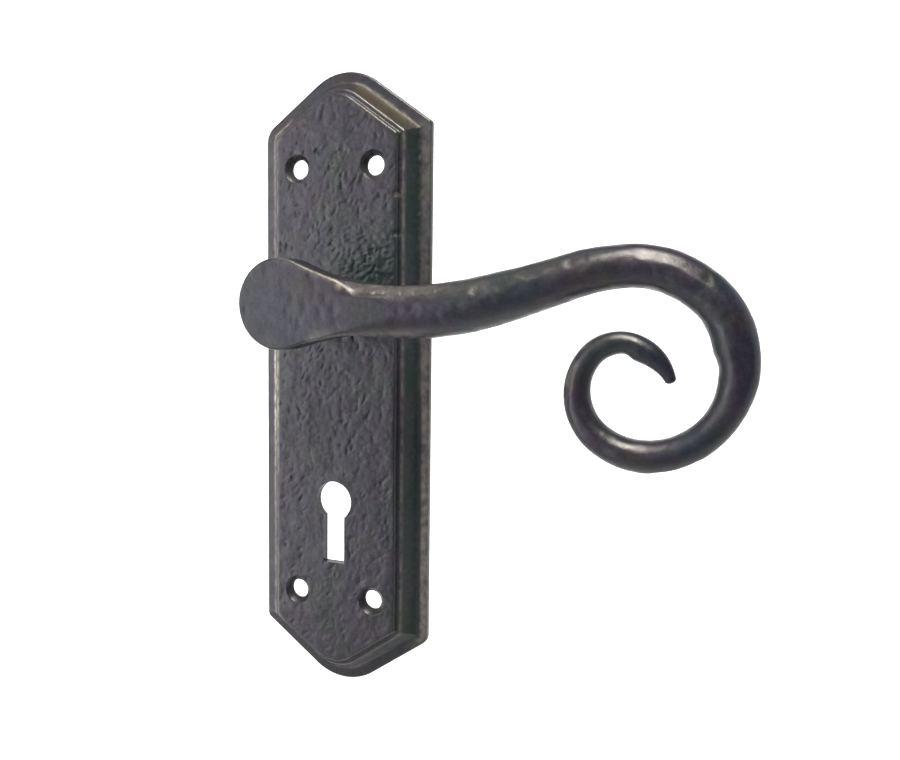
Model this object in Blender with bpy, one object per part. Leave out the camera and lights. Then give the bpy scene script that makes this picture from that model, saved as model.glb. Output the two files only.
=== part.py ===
"""A right-hand door lever handle on a pointed backplate, for a mortice lock.

Frame: the origin is where the spindle's axis meets the face of the door. +X runs along the lever, +Y goes
into the door and +Z is up, so the front of the handle faces -Y. Sizes below are in millimetres, and every
mesh is scaled to metres when it is made. Angles round the spindle are clockwise from the top, seen from the
front, which is the way the lever turns when it is pressed down.
"""
import math

import bmesh
import bpy
from mathutils import Matrix, Vector

METRES = 0.001

# Backplate
PLATE_WIDTH = 54.0
PLATE_DEPTH = 8.2
PLATE_WALL = 2.4
TOP_CORNER_Z = 51.3
BOTTOM_CORNER_Z = -97.0
TOP_SHOULDER_DEG = 36.0
BOTTOM_SHOULDER_DEG = 35.0
APEX_RADIUS = 16.5
CORNER_RADII = {"top_right": 1.2, "bottom_right": 3.0, "bottom_left": 2.0, "top_left": 6.0}
LIP_HEIGHT = 1.8
LIP_WIDTH = 3.1
LIP_RISE = 0.3
COVE_WIDTH = 2.9
COVE_HEIGHT = 4.5
COVE_STEPS = 4
LEDGE_WIDTH = 1.3
LEDGE_RISE = 0.1
FACE_RISER_WIDTH = 0.3
POCKET_INSET = 5.6
POCKET_DRAFT = 3.0
RIB_THICKNESS = 2.0
RIB_HALF_LENGTH = 20.2
RIB_Z = (25.0, -28.0)
RIB_BACK_Y = -0.6

# Holes in the backplate
SCREW_HOLE_X = 12.25
SCREW_HOLE_Z = (39.0, -85.0)
SCREW_HOLE_RADIUS = 2.8
COUNTERSINK_RADIUS = 4.1
COUNTERSINK_DEPTH = 1.2
KEYHOLE_Z = -57.0
KEYHOLE_RADIUS = 5.7
KEYHOLE_SLOT_HALF = 3.4
KEYHOLE_BOTTOM_Z = -75.2

# Neck of the lever, its bearing and the stack behind it
NECK_RADIUS = 8.2
NECK_FLARE_RADIUS = 9.8
NECK_SHOULDER_Y = -9.05
JOURNAL_RADIUS = 7.2
NECK_END_Y = -0.25
FLAT_HALF = 6.2
FLAT_START_Y = -2.95
GROOVE_RADIUS = 6.6
GROOVE_Y = (-1.65, -0.75)
BUSH_BORE_RADIUS = 7.3
BUSH_RADIUS = 8.1
PLATE_BORE_RADIUS = 8.15
BUSH_FLANGE_RADIUS = 9.3
BUSH_FRONT_Y = -8.1
BUSH_FLANGE_Y = (-4.35, -3.75)
BOSS_RADIUS = 9.6
BOSS_END_Y = -4.4
FRONT_WASHER_Y = (-8.95, -8.35)
WAVE_WASHER_RADII = (7.5, 9.2)
WAVE_WASHER_THICKNESS = 0.25
WAVE_WASHER_MIDDLE_Y = -3.28
WAVE_HEIGHT = 0.16
WAVE_COUNT = 3

# Cam plate, circlip, stops
CAM_Y = (-2.8, -1.8)
CAM_RADIUS = 11.3
CAM_LUG_RADIUS = 17.0
CAM_LUG_HALF = 2.5
CAM_HOLE_CLEARANCE = 0.15
CAM_ARM_X = -15.2
CAM_ARM_Z = (-4.0, -0.75)
TAB_X = (-15.1, -12.2)
TAB_Z = (-1.75, -0.85)
TAB_FRONT_Y = -5.0
CLIP_Y = (-1.6, -0.8)
CLIP_RADII = (6.7, 8.4)
CLIP_GAP_HALF_DEG = 18.0
CLIP_LUG_DEG = 17.0
CLIP_LUG_RADIUS = 10.2
CLIP_EYE_RADIUS = 0.6
CLIP_EYE_AT_RADIUS = 8.7
STOP_PIN_RADIUS = 1.5
STOP_PIN_AT_RADIUS = 15.0
STOP_CLEARANCE = 0.15
LEVER_TURN_DEG = 45.0
PIN_SEAT_Y = -7.2
PIN_BACK_Y = -1.75
PIN_PAD_RADIUS = 2.6
PIN_PAD_Y = -4.6

# Return spring
WIRE_RADIUS = 0.6
SPRING_RADIUS = 10.7
SPRING_PITCH = 1.25
SPRING_TURNS = 1.25
SPRING_FRONT_Y = -5.1
SPRING_FIXED_DEG = 180.0
SPRING_LEG_RADII = (15.8, 15.4)
SPRING_BEND = 1.2
ANCHOR_PIN_BACK_Y = -3.2

# Cover and its screws
POST_AT = 15.0
POST_RADIUS = 3.0
POST_BACK_Y = -1.75
COVER_Y = (-1.6, -0.8)
COVER_HALF = (18.3, 19.0)
COVER_CORNER_RADIUS = 3.0
COVER_HOLE_RADIUS = 11.2
COVER_SCREW_HOLE_RADIUS = 1.7
SCREW_HEAD_RADIUS = 2.6
SCREW_HEAD_Y = (-0.72, -0.12)
SCREW_SHANK_RADIUS = 1.3
SCREW_TIP_Y = -5.2
SCREW_THREAD_HOLE_RADIUS = 1.45
SCREW_SLOT = (0.7, 0.35)

# Spindle and grub screw
SPINDLE_HALF = 4.0
SPINDLE_CHAMFER = 0.6
SPINDLE_Y = (-25.2, 54.8)
SPINDLE_END_CHAMFER = 0.8
SOCKET_HALF = 4.2
SOCKET_CHAMFER = 0.5
SOCKET_FLOOR_Y = -26.0
GRUB_Y = -17.5
GRUB_RADIUS = 2.35
GRUB_Z = (-7.7, -4.2)
GRUB_HOLE_RADIUS = 2.5
GRUB_HEX_FLATS = 2.5
GRUB_HEX_DEPTH = 1.6

# Lever: flat eye, then an arm along tangent arcs (radius, sweep), turning up where the sweep is positive
EYE_RADIUS = 11.85
EYE_FRONT_Y = -37.3
EYE_THICKNESS = 8.0
EYE_EDGE_RADIUS = 0.9
ARM_START_DEG = -3.1
ARM_STRAIGHT = 28.0
ARM_ARCS = (
    (88.0, 18.0), (360.0, 3.0), (58.0, -13.0), (24.0, -51.0), (20.9, -108.0),
    (17.5, -61.0), (13.0, -90.0), (9.5, -77.0), (12.5, -47.0),
)
ARM_MIDDLE_Y = -30.8
# (distance along the arm, half height, half depth)
ARM_SECTIONS = (
    (0.0, 11.85, 4.0), (3.0, 11.4, 4.0), (6.0, 10.3, 4.1), (11.5, 8.5, 4.5), (16.0, 7.3, 5.2), (21.0, 6.6, 5.8),
    (28.0, 6.4, 6.2), (40.0, 6.6, 6.5), (54.0, 6.3, 6.3), (66.0, 5.7, 5.7), (77.0, 5.2, 5.2), (90.0, 4.9, 4.9),
    (112.0, 4.75, 4.75), (124.0, 4.3, 4.3), (138.0, 3.6, 3.6), (155.0, 3.7, 3.7), (170.0, 3.4, 3.4),
    (185.0, 2.9, 2.9), (198.0, 2.5, 2.5), (205.0, 2.1, 2.1), (211.0, 1.3, 1.3),
)
ROUND_FROM = 26.0
FLUSH_TO = 40.0
EYE_RINGS = 8
BLEND_RINGS = 13
ARM_STEP_DEG = 8.0
ARM_STEP = 7.0
CORNER_POINTS = 5
TIP_ROUNDING = 1.0

ROUND_SEGMENTS = 40
PIN_SEGMENTS = 20
SHARP_DEG = 30.0


# Small helpers

def clear_scene():
    for thing in list(bpy.data.objects):
        bpy.data.objects.remove(thing, do_unlink=True)


def make_material(name, color, roughness, metallic):
    material = bpy.data.materials.new(name)
    material.use_nodes = True
    shader = material.node_tree.nodes["Principled BSDF"]
    shader.inputs["Base Color"].default_value = (*color, 1.0)
    shader.inputs["Roughness"].default_value = roughness
    shader.inputs["Metallic"].default_value = metallic
    material.diffuse_color = (*color, 1.0)
    return material


def shade(mesh):
    mesh.shade_smooth()
    mesh.set_sharp_from_angle(angle=math.radians(SHARP_DEG))


def make_object(name, bm, material=None):
    bmesh.ops.remove_doubles(bm, verts=bm.verts, dist=1e-5)
    bmesh.ops.recalc_face_normals(bm, faces=bm.faces)
    bmesh.ops.scale(bm, vec=(METRES, METRES, METRES), verts=bm.verts)
    mesh = bpy.data.meshes.new(name)
    bm.to_mesh(mesh)
    bm.free()
    shade(mesh)
    thing = bpy.data.objects.new(name, mesh)
    bpy.context.collection.objects.link(thing)
    if material:
        mesh.materials.append(material)
    return thing


def boolean(target, bm, operation):
    """Cut the shape in bm from the target, or join it on, and keep the result as the target's mesh."""
    tool = make_object("tool", bm)
    modifier = target.modifiers.new("boolean", "BOOLEAN")
    modifier.operation = operation
    modifier.solver = "EXACT"
    modifier.object = tool
    graph = bpy.context.evaluated_depsgraph_get()
    result = bpy.data.meshes.new_from_object(target.evaluated_get(graph))
    target.modifiers.remove(modifier)
    spent = (target.data, tool.data)
    target.data = result
    result.name = target.name
    shade(result)
    bpy.data.objects.remove(tool)
    for mesh in spent:
        bpy.data.meshes.remove(mesh)


def clockwise(radius, degrees):
    """(x, z) at an angle clockwise from the top, seen from the front."""
    angle = math.radians(degrees)
    return radius * math.sin(angle), radius * math.cos(angle)


def loft(bm, rings):
    """Join rings of equal point counts, and cap the first and the last."""
    made = [[bm.verts.new(point) for point in ring] for ring in rings]
    for first, second in zip(made, made[1:]):
        for i in range(len(first)):
            j = (i + 1) % len(first)
            bm.faces.new((first[i], first[j], second[j], second[i]))
    bm.faces.new(list(reversed(made[0])))
    bm.faces.new(made[-1])


def prism(bm, outline, front_y, back_y):
    loft(bm, [[(x, y, z) for x, z in outline] for y in (front_y, back_y)])


def turned(bm, profile, at=(0.0, 0.0), segments=ROUND_SEGMENTS):
    """Turn a closed profile of (radius, y) about the axis along Y at (x, z)."""
    start = len(bm.verts)
    rows = []
    for k in range(segments):
        x, z = clockwise(1.0, 360.0 * k / segments)
        rows.append([bm.verts.new((at[0] + r * x, y, at[1] + r * z)) for r, y in profile])
    for k in range(segments):
        here, there = rows[k], rows[(k + 1) % segments]
        for i in range(len(profile)):
            j = (i + 1) % len(profile)
            if profile[i][0] > 0.0 or profile[j][0] > 0.0:
                bm.faces.new((here[i], here[j], there[j], there[i]))
    bm.verts.ensure_lookup_table()
    bmesh.ops.remove_doubles(bm, verts=bm.verts[start:], dist=1e-5)


def solid_turned(bm, profile, at=(0.0, 0.0), segments=ROUND_SEGMENTS):
    """Turn an open profile of (radius, y) and close it on the axis."""
    turned(bm, [(0.0, profile[0][1]), *profile, (0.0, profile[-1][1])], at, segments)


def ring(bm, inner, outer, front_y, back_y, segments=ROUND_SEGMENTS):
    turned(bm, [(inner, front_y), (outer, front_y), (outer, back_y), (inner, back_y)], segments=segments)


def rod(bm, radius, front_y, back_y, at=(0.0, 0.0), chamfer=0.0, segments=PIN_SEGMENTS):
    if chamfer:
        profile = [(radius - chamfer, front_y), (radius, front_y + chamfer)]
        profile += [(radius, back_y - chamfer), (radius - chamfer, back_y)]
    else:
        profile = [(radius, front_y), (radius, back_y)]
    solid_turned(bm, profile, at, segments)


def upright_rod(bm, radius, low_z, high_z, at_y, sides=PIN_SEGMENTS, chamfer=0.0):
    """A rod along Z, centred on x = 0."""
    levels = [(radius, low_z), (radius, high_z - chamfer)]
    if chamfer:
        levels.append((radius - chamfer, high_z))
    rings = []
    for size, z in levels:
        turn = [2 * math.pi * k / sides for k in range(sides)]
        rings.append([(size * math.cos(a), at_y + size * math.sin(a), z) for a in turn])
    loft(bm, rings)


def box(bm, x, y, z):
    """A block between two values on each axis."""
    prism(bm, [(x[0], z[0]), (x[1], z[0]), (x[1], z[1]), (x[0], z[1])], y[0], y[1])


def arc_points(centre, radius, start_deg, end_deg, count):
    points = []
    for i in range(count):
        x, z = clockwise(radius, start_deg + (end_deg - start_deg) * i / (count - 1))
        points.append((centre[0] + x, centre[1] + z))
    return points


def chamfered_square(half, chamfer):
    near = half - chamfer
    return [
        (near, half), (half, near), (half, -near), (near, -half),
        (-near, -half), (-half, -near), (-half, near), (-near, half),
    ]


def rounded_rectangle(half_x, half_z, radius, count=6):
    x, z = half_x - radius, half_z - radius
    outline = arc_points((x, z), radius, 0, 90, count)
    outline += arc_points((x, -z), radius, 90, 180, count)
    outline += arc_points((-x, -z), radius, 180, 270, count)
    outline += arc_points((-x, z), radius, 270, 360, count)
    return outline


# Backplate

def fillet(corner, before_deg, after_deg, radius, count):
    """A rounded corner of a clockwise outline. The angles are those of the outward normals on each side."""
    half = math.radians((after_deg - before_deg) / 2)
    x, z = clockwise(radius / math.cos(half), (before_deg + after_deg) / 2)
    centre = (corner[0] - x, corner[1] - z)
    return arc_points(centre, radius, before_deg, after_deg, count)


def plate_outline(inset):
    """The plate's outline, moved inwards, clockwise from the top apex."""
    half = PLATE_WIDTH / 2 - inset
    top, bottom = math.radians(TOP_SHOULDER_DEG), math.radians(BOTTOM_SHOULDER_DEG)
    top_apex = TOP_CORNER_Z + PLATE_WIDTH / 2 * math.tan(top) - inset / math.cos(top)
    bottom_apex = BOTTOM_CORNER_Z - PLATE_WIDTH / 2 * math.tan(bottom) + inset / math.cos(bottom)
    top_z = top_apex - half * math.tan(top)
    bottom_z = bottom_apex + half * math.tan(bottom)

    def radius(name):
        return max(CORNER_RADII[name] - inset, 0.3)

    apex = APEX_RADIUS - inset
    outline = fillet((0.0, top_apex), -TOP_SHOULDER_DEG, TOP_SHOULDER_DEG, apex, 11)
    outline += fillet((half, top_z), TOP_SHOULDER_DEG, 90, radius("top_right"), 4)
    outline += fillet((half, bottom_z), 90, 180 - BOTTOM_SHOULDER_DEG, radius("bottom_right"), 4)
    outline += fillet((0.0, bottom_apex), 180 - BOTTOM_SHOULDER_DEG, 180 + BOTTOM_SHOULDER_DEG, apex, 11)
    outline += fillet((-half, bottom_z), 180 + BOTTOM_SHOULDER_DEG, 270, radius("bottom_left"), 4)
    outline += fillet((-half, top_z), 270, 360 - TOP_SHOULDER_DEG, radius("top_left"), 4)
    return outline


def border_profile():
    """(inset, y) from the door's face out over the lip, the cove and the ledge to the plate's face."""
    profile = [(0.0, 0.0), (0.0, -LIP_HEIGHT)]
    cove_x, cove_y = LIP_WIDTH, -LIP_HEIGHT - LIP_RISE
    for i in range(COVE_STEPS + 1):
        t = i / COVE_STEPS
        profile.append((cove_x + COVE_WIDTH * t, cove_y - COVE_HEIGHT * t ** 1.4))
    ledge_x = cove_x + COVE_WIDTH + LEDGE_WIDTH
    profile.append((ledge_x, cove_y - COVE_HEIGHT - LEDGE_RISE))
    profile.append((ledge_x + FACE_RISER_WIDTH, -PLATE_DEPTH))
    return profile


def keyhole_outline():
    slot_deg = math.degrees(math.asin(KEYHOLE_SLOT_HALF / KEYHOLE_RADIUS))
    outline = arc_points((0.0, KEYHOLE_Z), KEYHOLE_RADIUS, slot_deg - 180, 180 - slot_deg, 25)
    outline += [(KEYHOLE_SLOT_HALF, KEYHOLE_BOTTOM_Z), (-KEYHOLE_SLOT_HALF, KEYHOLE_BOTTOM_Z)]
    return outline


def stop_pin_degrees():
    """How far each stop pin stands from the middle of the cam's lug."""
    away = CAM_LUG_HALF + STOP_PIN_RADIUS + STOP_CLEARANCE
    return math.degrees(math.asin(away / STOP_PIN_AT_RADIUS))


def pin_places():
    """(x, z) of the rest stop, the limit stop and the spring's anchor."""
    away = stop_pin_degrees()
    leg_to_pin = WIRE_RADIUS + STOP_PIN_RADIUS + STOP_CLEARANCE
    anchor_deg = SPRING_FIXED_DEG + math.degrees(math.asin(leg_to_pin / STOP_PIN_AT_RADIUS))
    return (
        clockwise(STOP_PIN_AT_RADIUS, -away),
        clockwise(STOP_PIN_AT_RADIUS, LEVER_TURN_DEG + away),
        clockwise(STOP_PIN_AT_RADIUS, anchor_deg),
    )


def post_places():
    return [(x * POST_AT, z * POST_AT) for x, z in ((1, 1), (1, -1), (-1, -1), (-1, 1))]


def screw_places():
    return [(x, z) for z in SCREW_HOLE_Z for x in (-SCREW_HOLE_X, SCREW_HOLE_X)]


def make_backplate(material):
    bm = bmesh.new()
    loft(bm, [[(x, y, z) for x, z in plate_outline(inset)] for inset, y in border_profile()])
    plate = make_object("backplate", bm, material)

    floor_y = PLATE_WALL - PLATE_DEPTH
    bm = bmesh.new()
    overshoot = 1.0
    slope = POCKET_DRAFT / -floor_y
    levels = [(POCKET_INSET - slope * overshoot, overshoot), (POCKET_INSET + POCKET_DRAFT, floor_y)]
    loft(bm, [[(x, y, z) for x, z in plate_outline(inset)] for inset, y in levels])
    boolean(plate, bm, "DIFFERENCE")

    rest, limit, _ = pin_places()
    root_y = floor_y - 0.4
    bm = bmesh.new()
    rod(bm, BOSS_RADIUS, root_y, BOSS_END_Y, segments=ROUND_SEGMENTS)
    for place in post_places():
        rod(bm, POST_RADIUS, root_y, POST_BACK_Y, place, segments=24)
    for place in (rest, limit):
        rod(bm, PIN_PAD_RADIUS, root_y, PIN_PAD_Y, place, segments=24)
    for z in RIB_Z:
        box(bm, (-RIB_HALF_LENGTH, RIB_HALF_LENGTH), (root_y, RIB_BACK_Y), (z, z + RIB_THICKNESS))
    boolean(plate, bm, "UNION")

    bm = bmesh.new()
    through = (-PLATE_DEPTH - 1.0, floor_y + 1.0)
    rod(bm, PLATE_BORE_RADIUS, through[0], BOSS_END_Y + 1.0, segments=ROUND_SEGMENTS)
    prism(bm, keyhole_outline(), *through)
    sink_y = -PLATE_DEPTH + COUNTERSINK_DEPTH
    flare = (COUNTERSINK_RADIUS - SCREW_HOLE_RADIUS) / COUNTERSINK_DEPTH
    for place in screw_places():
        profile = [(COUNTERSINK_RADIUS + flare, through[0]), (SCREW_HOLE_RADIUS, sink_y)]
        profile.append((SCREW_HOLE_RADIUS, through[1]))
        solid_turned(bm, profile, place, 28)
    for place in post_places():
        rod(bm, SCREW_THREAD_HOLE_RADIUS, SCREW_TIP_Y - 0.3, POST_BACK_Y + 1.0, place, segments=16)
    for place in pin_places():
        rod(bm, STOP_PIN_RADIUS + 0.05, PIN_SEAT_Y - 0.1, floor_y + 1.5, place)
    boolean(plate, bm, "DIFFERENCE")


# Lever

def arm_line():
    """(distance, x, z, heading) along the middle of the arm, from the spindle's axis to the tip."""
    heading = math.radians(ARM_START_DEG)
    line = []
    for i in range(BLEND_RINGS):
        step = ARM_STRAIGHT * i / BLEND_RINGS
        line.append((step, step * math.cos(heading), step * math.sin(heading), heading))
    x, z = ARM_STRAIGHT * math.cos(heading), ARM_STRAIGHT * math.sin(heading)
    distance = ARM_STRAIGHT
    for radius, sweep_deg in ARM_ARCS:
        side = math.copysign(1.0, sweep_deg)
        sweep = math.radians(sweep_deg)
        centre_x = x - side * radius * math.sin(heading)
        centre_z = z + side * radius * math.cos(heading)
        steps = max(1, round(abs(sweep_deg) / ARM_STEP_DEG), round(radius * abs(sweep) / ARM_STEP))
        for i in range(steps):
            turn = sweep * i / steps
            px = centre_x + side * radius * math.sin(heading + turn)
            pz = centre_z - side * radius * math.cos(heading + turn)
            line.append((distance + radius * abs(turn), px, pz, heading + turn))
        heading += sweep
        x = centre_x + side * radius * math.sin(heading)
        z = centre_z - side * radius * math.cos(heading)
        distance += radius * abs(sweep)
    line.append((distance, x, z, heading))
    return line


def arm_section(distance):
    """Half height and half depth at a distance along the arm, on a smooth curve through the sections."""
    rows = ARM_SECTIONS
    if distance >= rows[-1][0]:
        return rows[-1][1:]
    i = max(k for k in range(len(rows) - 1) if rows[k][0] <= distance)
    a, b = rows[i], rows[i + 1]
    before, after = rows[max(i - 1, 0)], rows[min(i + 2, len(rows) - 1)]
    span = b[0] - a[0]
    t = (distance - a[0]) / span
    values = []
    for k in (1, 2):
        slope_a = (b[k] - before[k]) / (b[0] - before[0]) * span if i else 0.0
        slope_b = (after[k] - a[k]) / (after[0] - a[0]) * span
        value = (2 * t ** 3 - 3 * t ** 2 + 1) * a[k] + (t ** 3 - 2 * t ** 2 + t) * slope_a
        value += (3 * t ** 2 - 2 * t ** 3) * b[k] + (t ** 3 - t ** 2) * slope_b
        values.append(value)
    return tuple(values)


def section_ring(x, z, heading, middle_y, corner):
    """A closed section across the arm. The corner gives (height, depth) from its side to its face."""
    up_x, up_z = -math.sin(heading), math.cos(heading)
    quarter = [(h, -d) for h, d in corner]
    points = quarter + [(-h, d) for h, d in reversed(quarter)]
    points += [(-h, -d) for h, d in quarter] + [(h, -d) for h, d in reversed(quarter)]
    return [(x + up_x * h, middle_y + d, z + up_z * h) for h, d in points]


def eye_rings():
    """Sections across the round part of the eye, left of the spindle's axis, with a rolled edge."""
    heading = math.radians(ARM_START_DEG)
    half = EYE_THICKNESS / 2
    core = EYE_RADIUS - EYE_EDGE_RADIUS
    rings = []
    for i in range(EYE_RINGS):
        away = EYE_RADIUS * math.cos(math.radians(6 + 84 * i / EYE_RINGS))
        last = math.pi / 2
        if away > core:
            last = math.acos((away - core) / EYE_EDGE_RADIUS)
        corner = []
        for k in range(CORNER_POINTS):
            angle = last * k / (CORNER_POINTS - 1)
            edge = core + EYE_EDGE_RADIUS * math.cos(angle)
            height = math.sqrt(max(edge ** 2 - away ** 2, 0.0))
            depth = half - EYE_EDGE_RADIUS + EYE_EDGE_RADIUS * math.sin(angle)
            corner.append((max(height, 0.02), depth))
        centre = (-away * math.cos(heading), -away * math.sin(heading))
        rings.append(section_ring(*centre, heading, EYE_FRONT_Y + half, corner))
    return rings


def arm_rings():
    rings = []
    for distance, x, z, heading in arm_line():
        high, deep = arm_section(distance)
        blend = min(distance / ROUND_FROM, 1.0)
        blend = blend * blend * (3 - 2 * blend)
        radius_high = EYE_EDGE_RADIUS + (high - EYE_EDGE_RADIUS) * blend
        radius_deep = EYE_EDGE_RADIUS + (deep - EYE_EDGE_RADIUS) * blend
        corner = []
        for k in range(CORNER_POINTS):
            angle = math.pi / 2 * k / (CORNER_POINTS - 1)
            height = high - radius_high + radius_high * math.cos(angle)
            corner.append((max(height, 0.02), deep - radius_deep + radius_deep * math.sin(angle)))
        middle_y = EYE_FRONT_Y + deep if distance < FLUSH_TO else ARM_MIDDLE_Y
        rings.append(section_ring(x, z, heading, middle_y, corner))
    return rings


def tip_rings():
    """Shrink the last section twice to round the tip off."""
    distance, x, z, heading = arm_line()[-1]
    high, deep = arm_section(distance)
    rings = []
    for angle_deg in (40.0, 70.0):
        scale = math.cos(math.radians(angle_deg))
        ahead = TIP_ROUNDING * math.sin(math.radians(angle_deg))
        corner = []
        for k in range(CORNER_POINTS):
            angle = math.pi / 2 * k / (CORNER_POINTS - 1)
            corner.append((max(high * scale * math.cos(angle), 0.02), deep * scale * math.sin(angle)))
        place = (x + ahead * math.cos(heading), z + ahead * math.sin(heading))
        rings.append(section_ring(*place, heading, ARM_MIDDLE_Y, corner))
    return rings


def make_lever(material):
    bm = bmesh.new()
    loft(bm, eye_rings() + arm_rings() + tip_rings())
    lever = make_object("lever", bm, material)

    bm = bmesh.new()
    inside_eye_y = EYE_FRONT_Y + EYE_THICKNESS - 1.5
    flare_y = EYE_FRONT_Y + EYE_THICKNESS + 2.5
    solid_turned(bm, [
        (NECK_FLARE_RADIUS, inside_eye_y), (NECK_FLARE_RADIUS, flare_y - 2.2), (NECK_RADIUS, flare_y),
        (NECK_RADIUS, NECK_SHOULDER_Y), (JOURNAL_RADIUS, NECK_SHOULDER_Y), (JOURNAL_RADIUS, GROOVE_Y[0]),
        (GROOVE_RADIUS, GROOVE_Y[0]), (GROOVE_RADIUS, GROOVE_Y[1]), (JOURNAL_RADIUS, GROOVE_Y[1]),
        (JOURNAL_RADIUS, NECK_END_Y),
    ])
    boolean(lever, bm, "UNION")

    bm = bmesh.new()
    prism(bm, chamfered_square(SOCKET_HALF, SOCKET_CHAMFER), SOCKET_FLOOR_Y, NECK_END_Y + 1.0)
    boolean(lever, bm, "DIFFERENCE")

    bm = bmesh.new()
    for side in (1, -1):
        z = sorted((side * FLAT_HALF, side * (JOURNAL_RADIUS + 2.0)))
        box(bm, (-JOURNAL_RADIUS - 2, JOURNAL_RADIUS + 2), (FLAT_START_Y, NECK_END_Y + 1.0), z)
    boolean(lever, bm, "DIFFERENCE")

    bm = bmesh.new()
    upright_rod(bm, GRUB_HOLE_RADIUS, -NECK_RADIUS - 2.0, -SOCKET_HALF + 1.0, GRUB_Y)
    boolean(lever, bm, "DIFFERENCE")


# Bearing, washers, pins and screws

def make_neck_bush(material):
    bm = bmesh.new()
    turned(bm, [
        (BUSH_BORE_RADIUS, BUSH_FRONT_Y), (BUSH_RADIUS, BUSH_FRONT_Y), (BUSH_RADIUS, BUSH_FLANGE_Y[0]),
        (BUSH_FLANGE_RADIUS, BUSH_FLANGE_Y[0]), (BUSH_FLANGE_RADIUS, BUSH_FLANGE_Y[1]),
        (BUSH_BORE_RADIUS, BUSH_FLANGE_Y[1]),
    ])
    make_object("neck_bush", bm, material)


def make_front_washer(material):
    bm = bmesh.new()
    ring(bm, BUSH_BORE_RADIUS + 0.1, NECK_RADIUS, *FRONT_WASHER_Y)
    make_object("front_washer", bm, material)


def make_wave_washer(material):
    inner, outer = WAVE_WASHER_RADII
    segments = 36
    half = WAVE_WASHER_THICKNESS / 2
    bm = bmesh.new()
    rows = []
    for k in range(segments):
        degrees = 360.0 * k / segments
        wave = WAVE_WASHER_MIDDLE_Y + WAVE_HEIGHT * math.sin(math.radians(degrees * WAVE_COUNT))
        corners = ((inner, wave - half), (outer, wave - half), (outer, wave + half), (inner, wave + half))
        row = []
        for radius, y in corners:
            x, z = clockwise(radius, degrees)
            row.append(bm.verts.new((x, y, z)))
        rows.append(row)
    for k in range(segments):
        here, there = rows[k], rows[(k + 1) % segments]
        for i in range(4):
            j = (i + 1) % 4
            bm.faces.new((here[i], here[j], there[j], there[i]))
    make_object("wave_washer", bm, material)


def make_pins(material):
    names = ("rest_stop_pin", "limit_stop_pin", "spring_anchor_pin")
    backs = (PIN_BACK_Y, PIN_BACK_Y, ANCHOR_PIN_BACK_Y)
    for name, place, back in zip(names, pin_places(), backs):
        bm = bmesh.new()
        rod(bm, STOP_PIN_RADIUS, PIN_SEAT_Y, back, place, chamfer=0.25)
        make_object(name, bm, material)


def make_cover_screws(material):
    width, depth = SCREW_SLOT
    for number, (x, z) in enumerate(post_places(), 1):
        bm = bmesh.new()
        front, back = SCREW_HEAD_Y
        solid_turned(bm, [
            (SCREW_SHANK_RADIUS - 0.3, SCREW_TIP_Y), (SCREW_SHANK_RADIUS, SCREW_TIP_Y + 0.3),
            (SCREW_SHANK_RADIUS, front), (SCREW_HEAD_RADIUS, front), (SCREW_HEAD_RADIUS, back - 0.2),
            (SCREW_HEAD_RADIUS - 0.3, back),
        ], (x, z), 24)
        screw = make_object(f"cover_screw_{number}", bm, material)
        bm = bmesh.new()
        box(bm, (-4.0, 4.0), (-depth, 1.0), (-width / 2, width / 2))
        turn = Matrix.Rotation(math.radians(35.0 * number), 4, "Y")
        bmesh.ops.transform(bm, matrix=Matrix.Translation((x, back, z)) @ turn, verts=bm.verts)
        boolean(screw, bm, "DIFFERENCE")


# Cam plate, circlip, cover

def double_d(radius, flat):
    """A circle with two flats, top and bottom."""
    flat_deg = math.degrees(math.acos(flat / radius))
    outline = arc_points((0.0, 0.0), radius, flat_deg, 180 - flat_deg, 13)
    outline += arc_points((0.0, 0.0), radius, 180 + flat_deg, 360 - flat_deg, 13)
    return outline


def make_cam_plate(material):
    lug_deg = math.degrees(math.asin(CAM_LUG_HALF / CAM_RADIUS))
    low, high = (360 - math.degrees(math.acos(z / CAM_RADIUS)) for z in CAM_ARM_Z)
    outline = arc_points((0.0, 0.0), CAM_RADIUS, lug_deg, low, 27)
    outline += [(CAM_ARM_X, CAM_ARM_Z[0]), (CAM_ARM_X, CAM_ARM_Z[1])]
    outline += arc_points((0.0, 0.0), CAM_RADIUS, high, 360 - lug_deg, 11)
    outline += [(-CAM_LUG_HALF, CAM_LUG_RADIUS), (CAM_LUG_HALF, CAM_LUG_RADIUS)]
    bm = bmesh.new()
    prism(bm, outline, *CAM_Y)
    cam = make_object("cam_plate", bm, material)

    bm = bmesh.new()
    box(bm, TAB_X, (TAB_FRONT_Y, CAM_Y[0] + 0.4), TAB_Z)
    boolean(cam, bm, "UNION")

    bm = bmesh.new()
    hole = double_d(JOURNAL_RADIUS + CAM_HOLE_CLEARANCE, FLAT_HALF + CAM_HOLE_CLEARANCE)
    prism(bm, hole, CAM_Y[0] - 1.0, CAM_Y[1] + 1.0)
    boolean(cam, bm, "DIFFERENCE")


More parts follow.
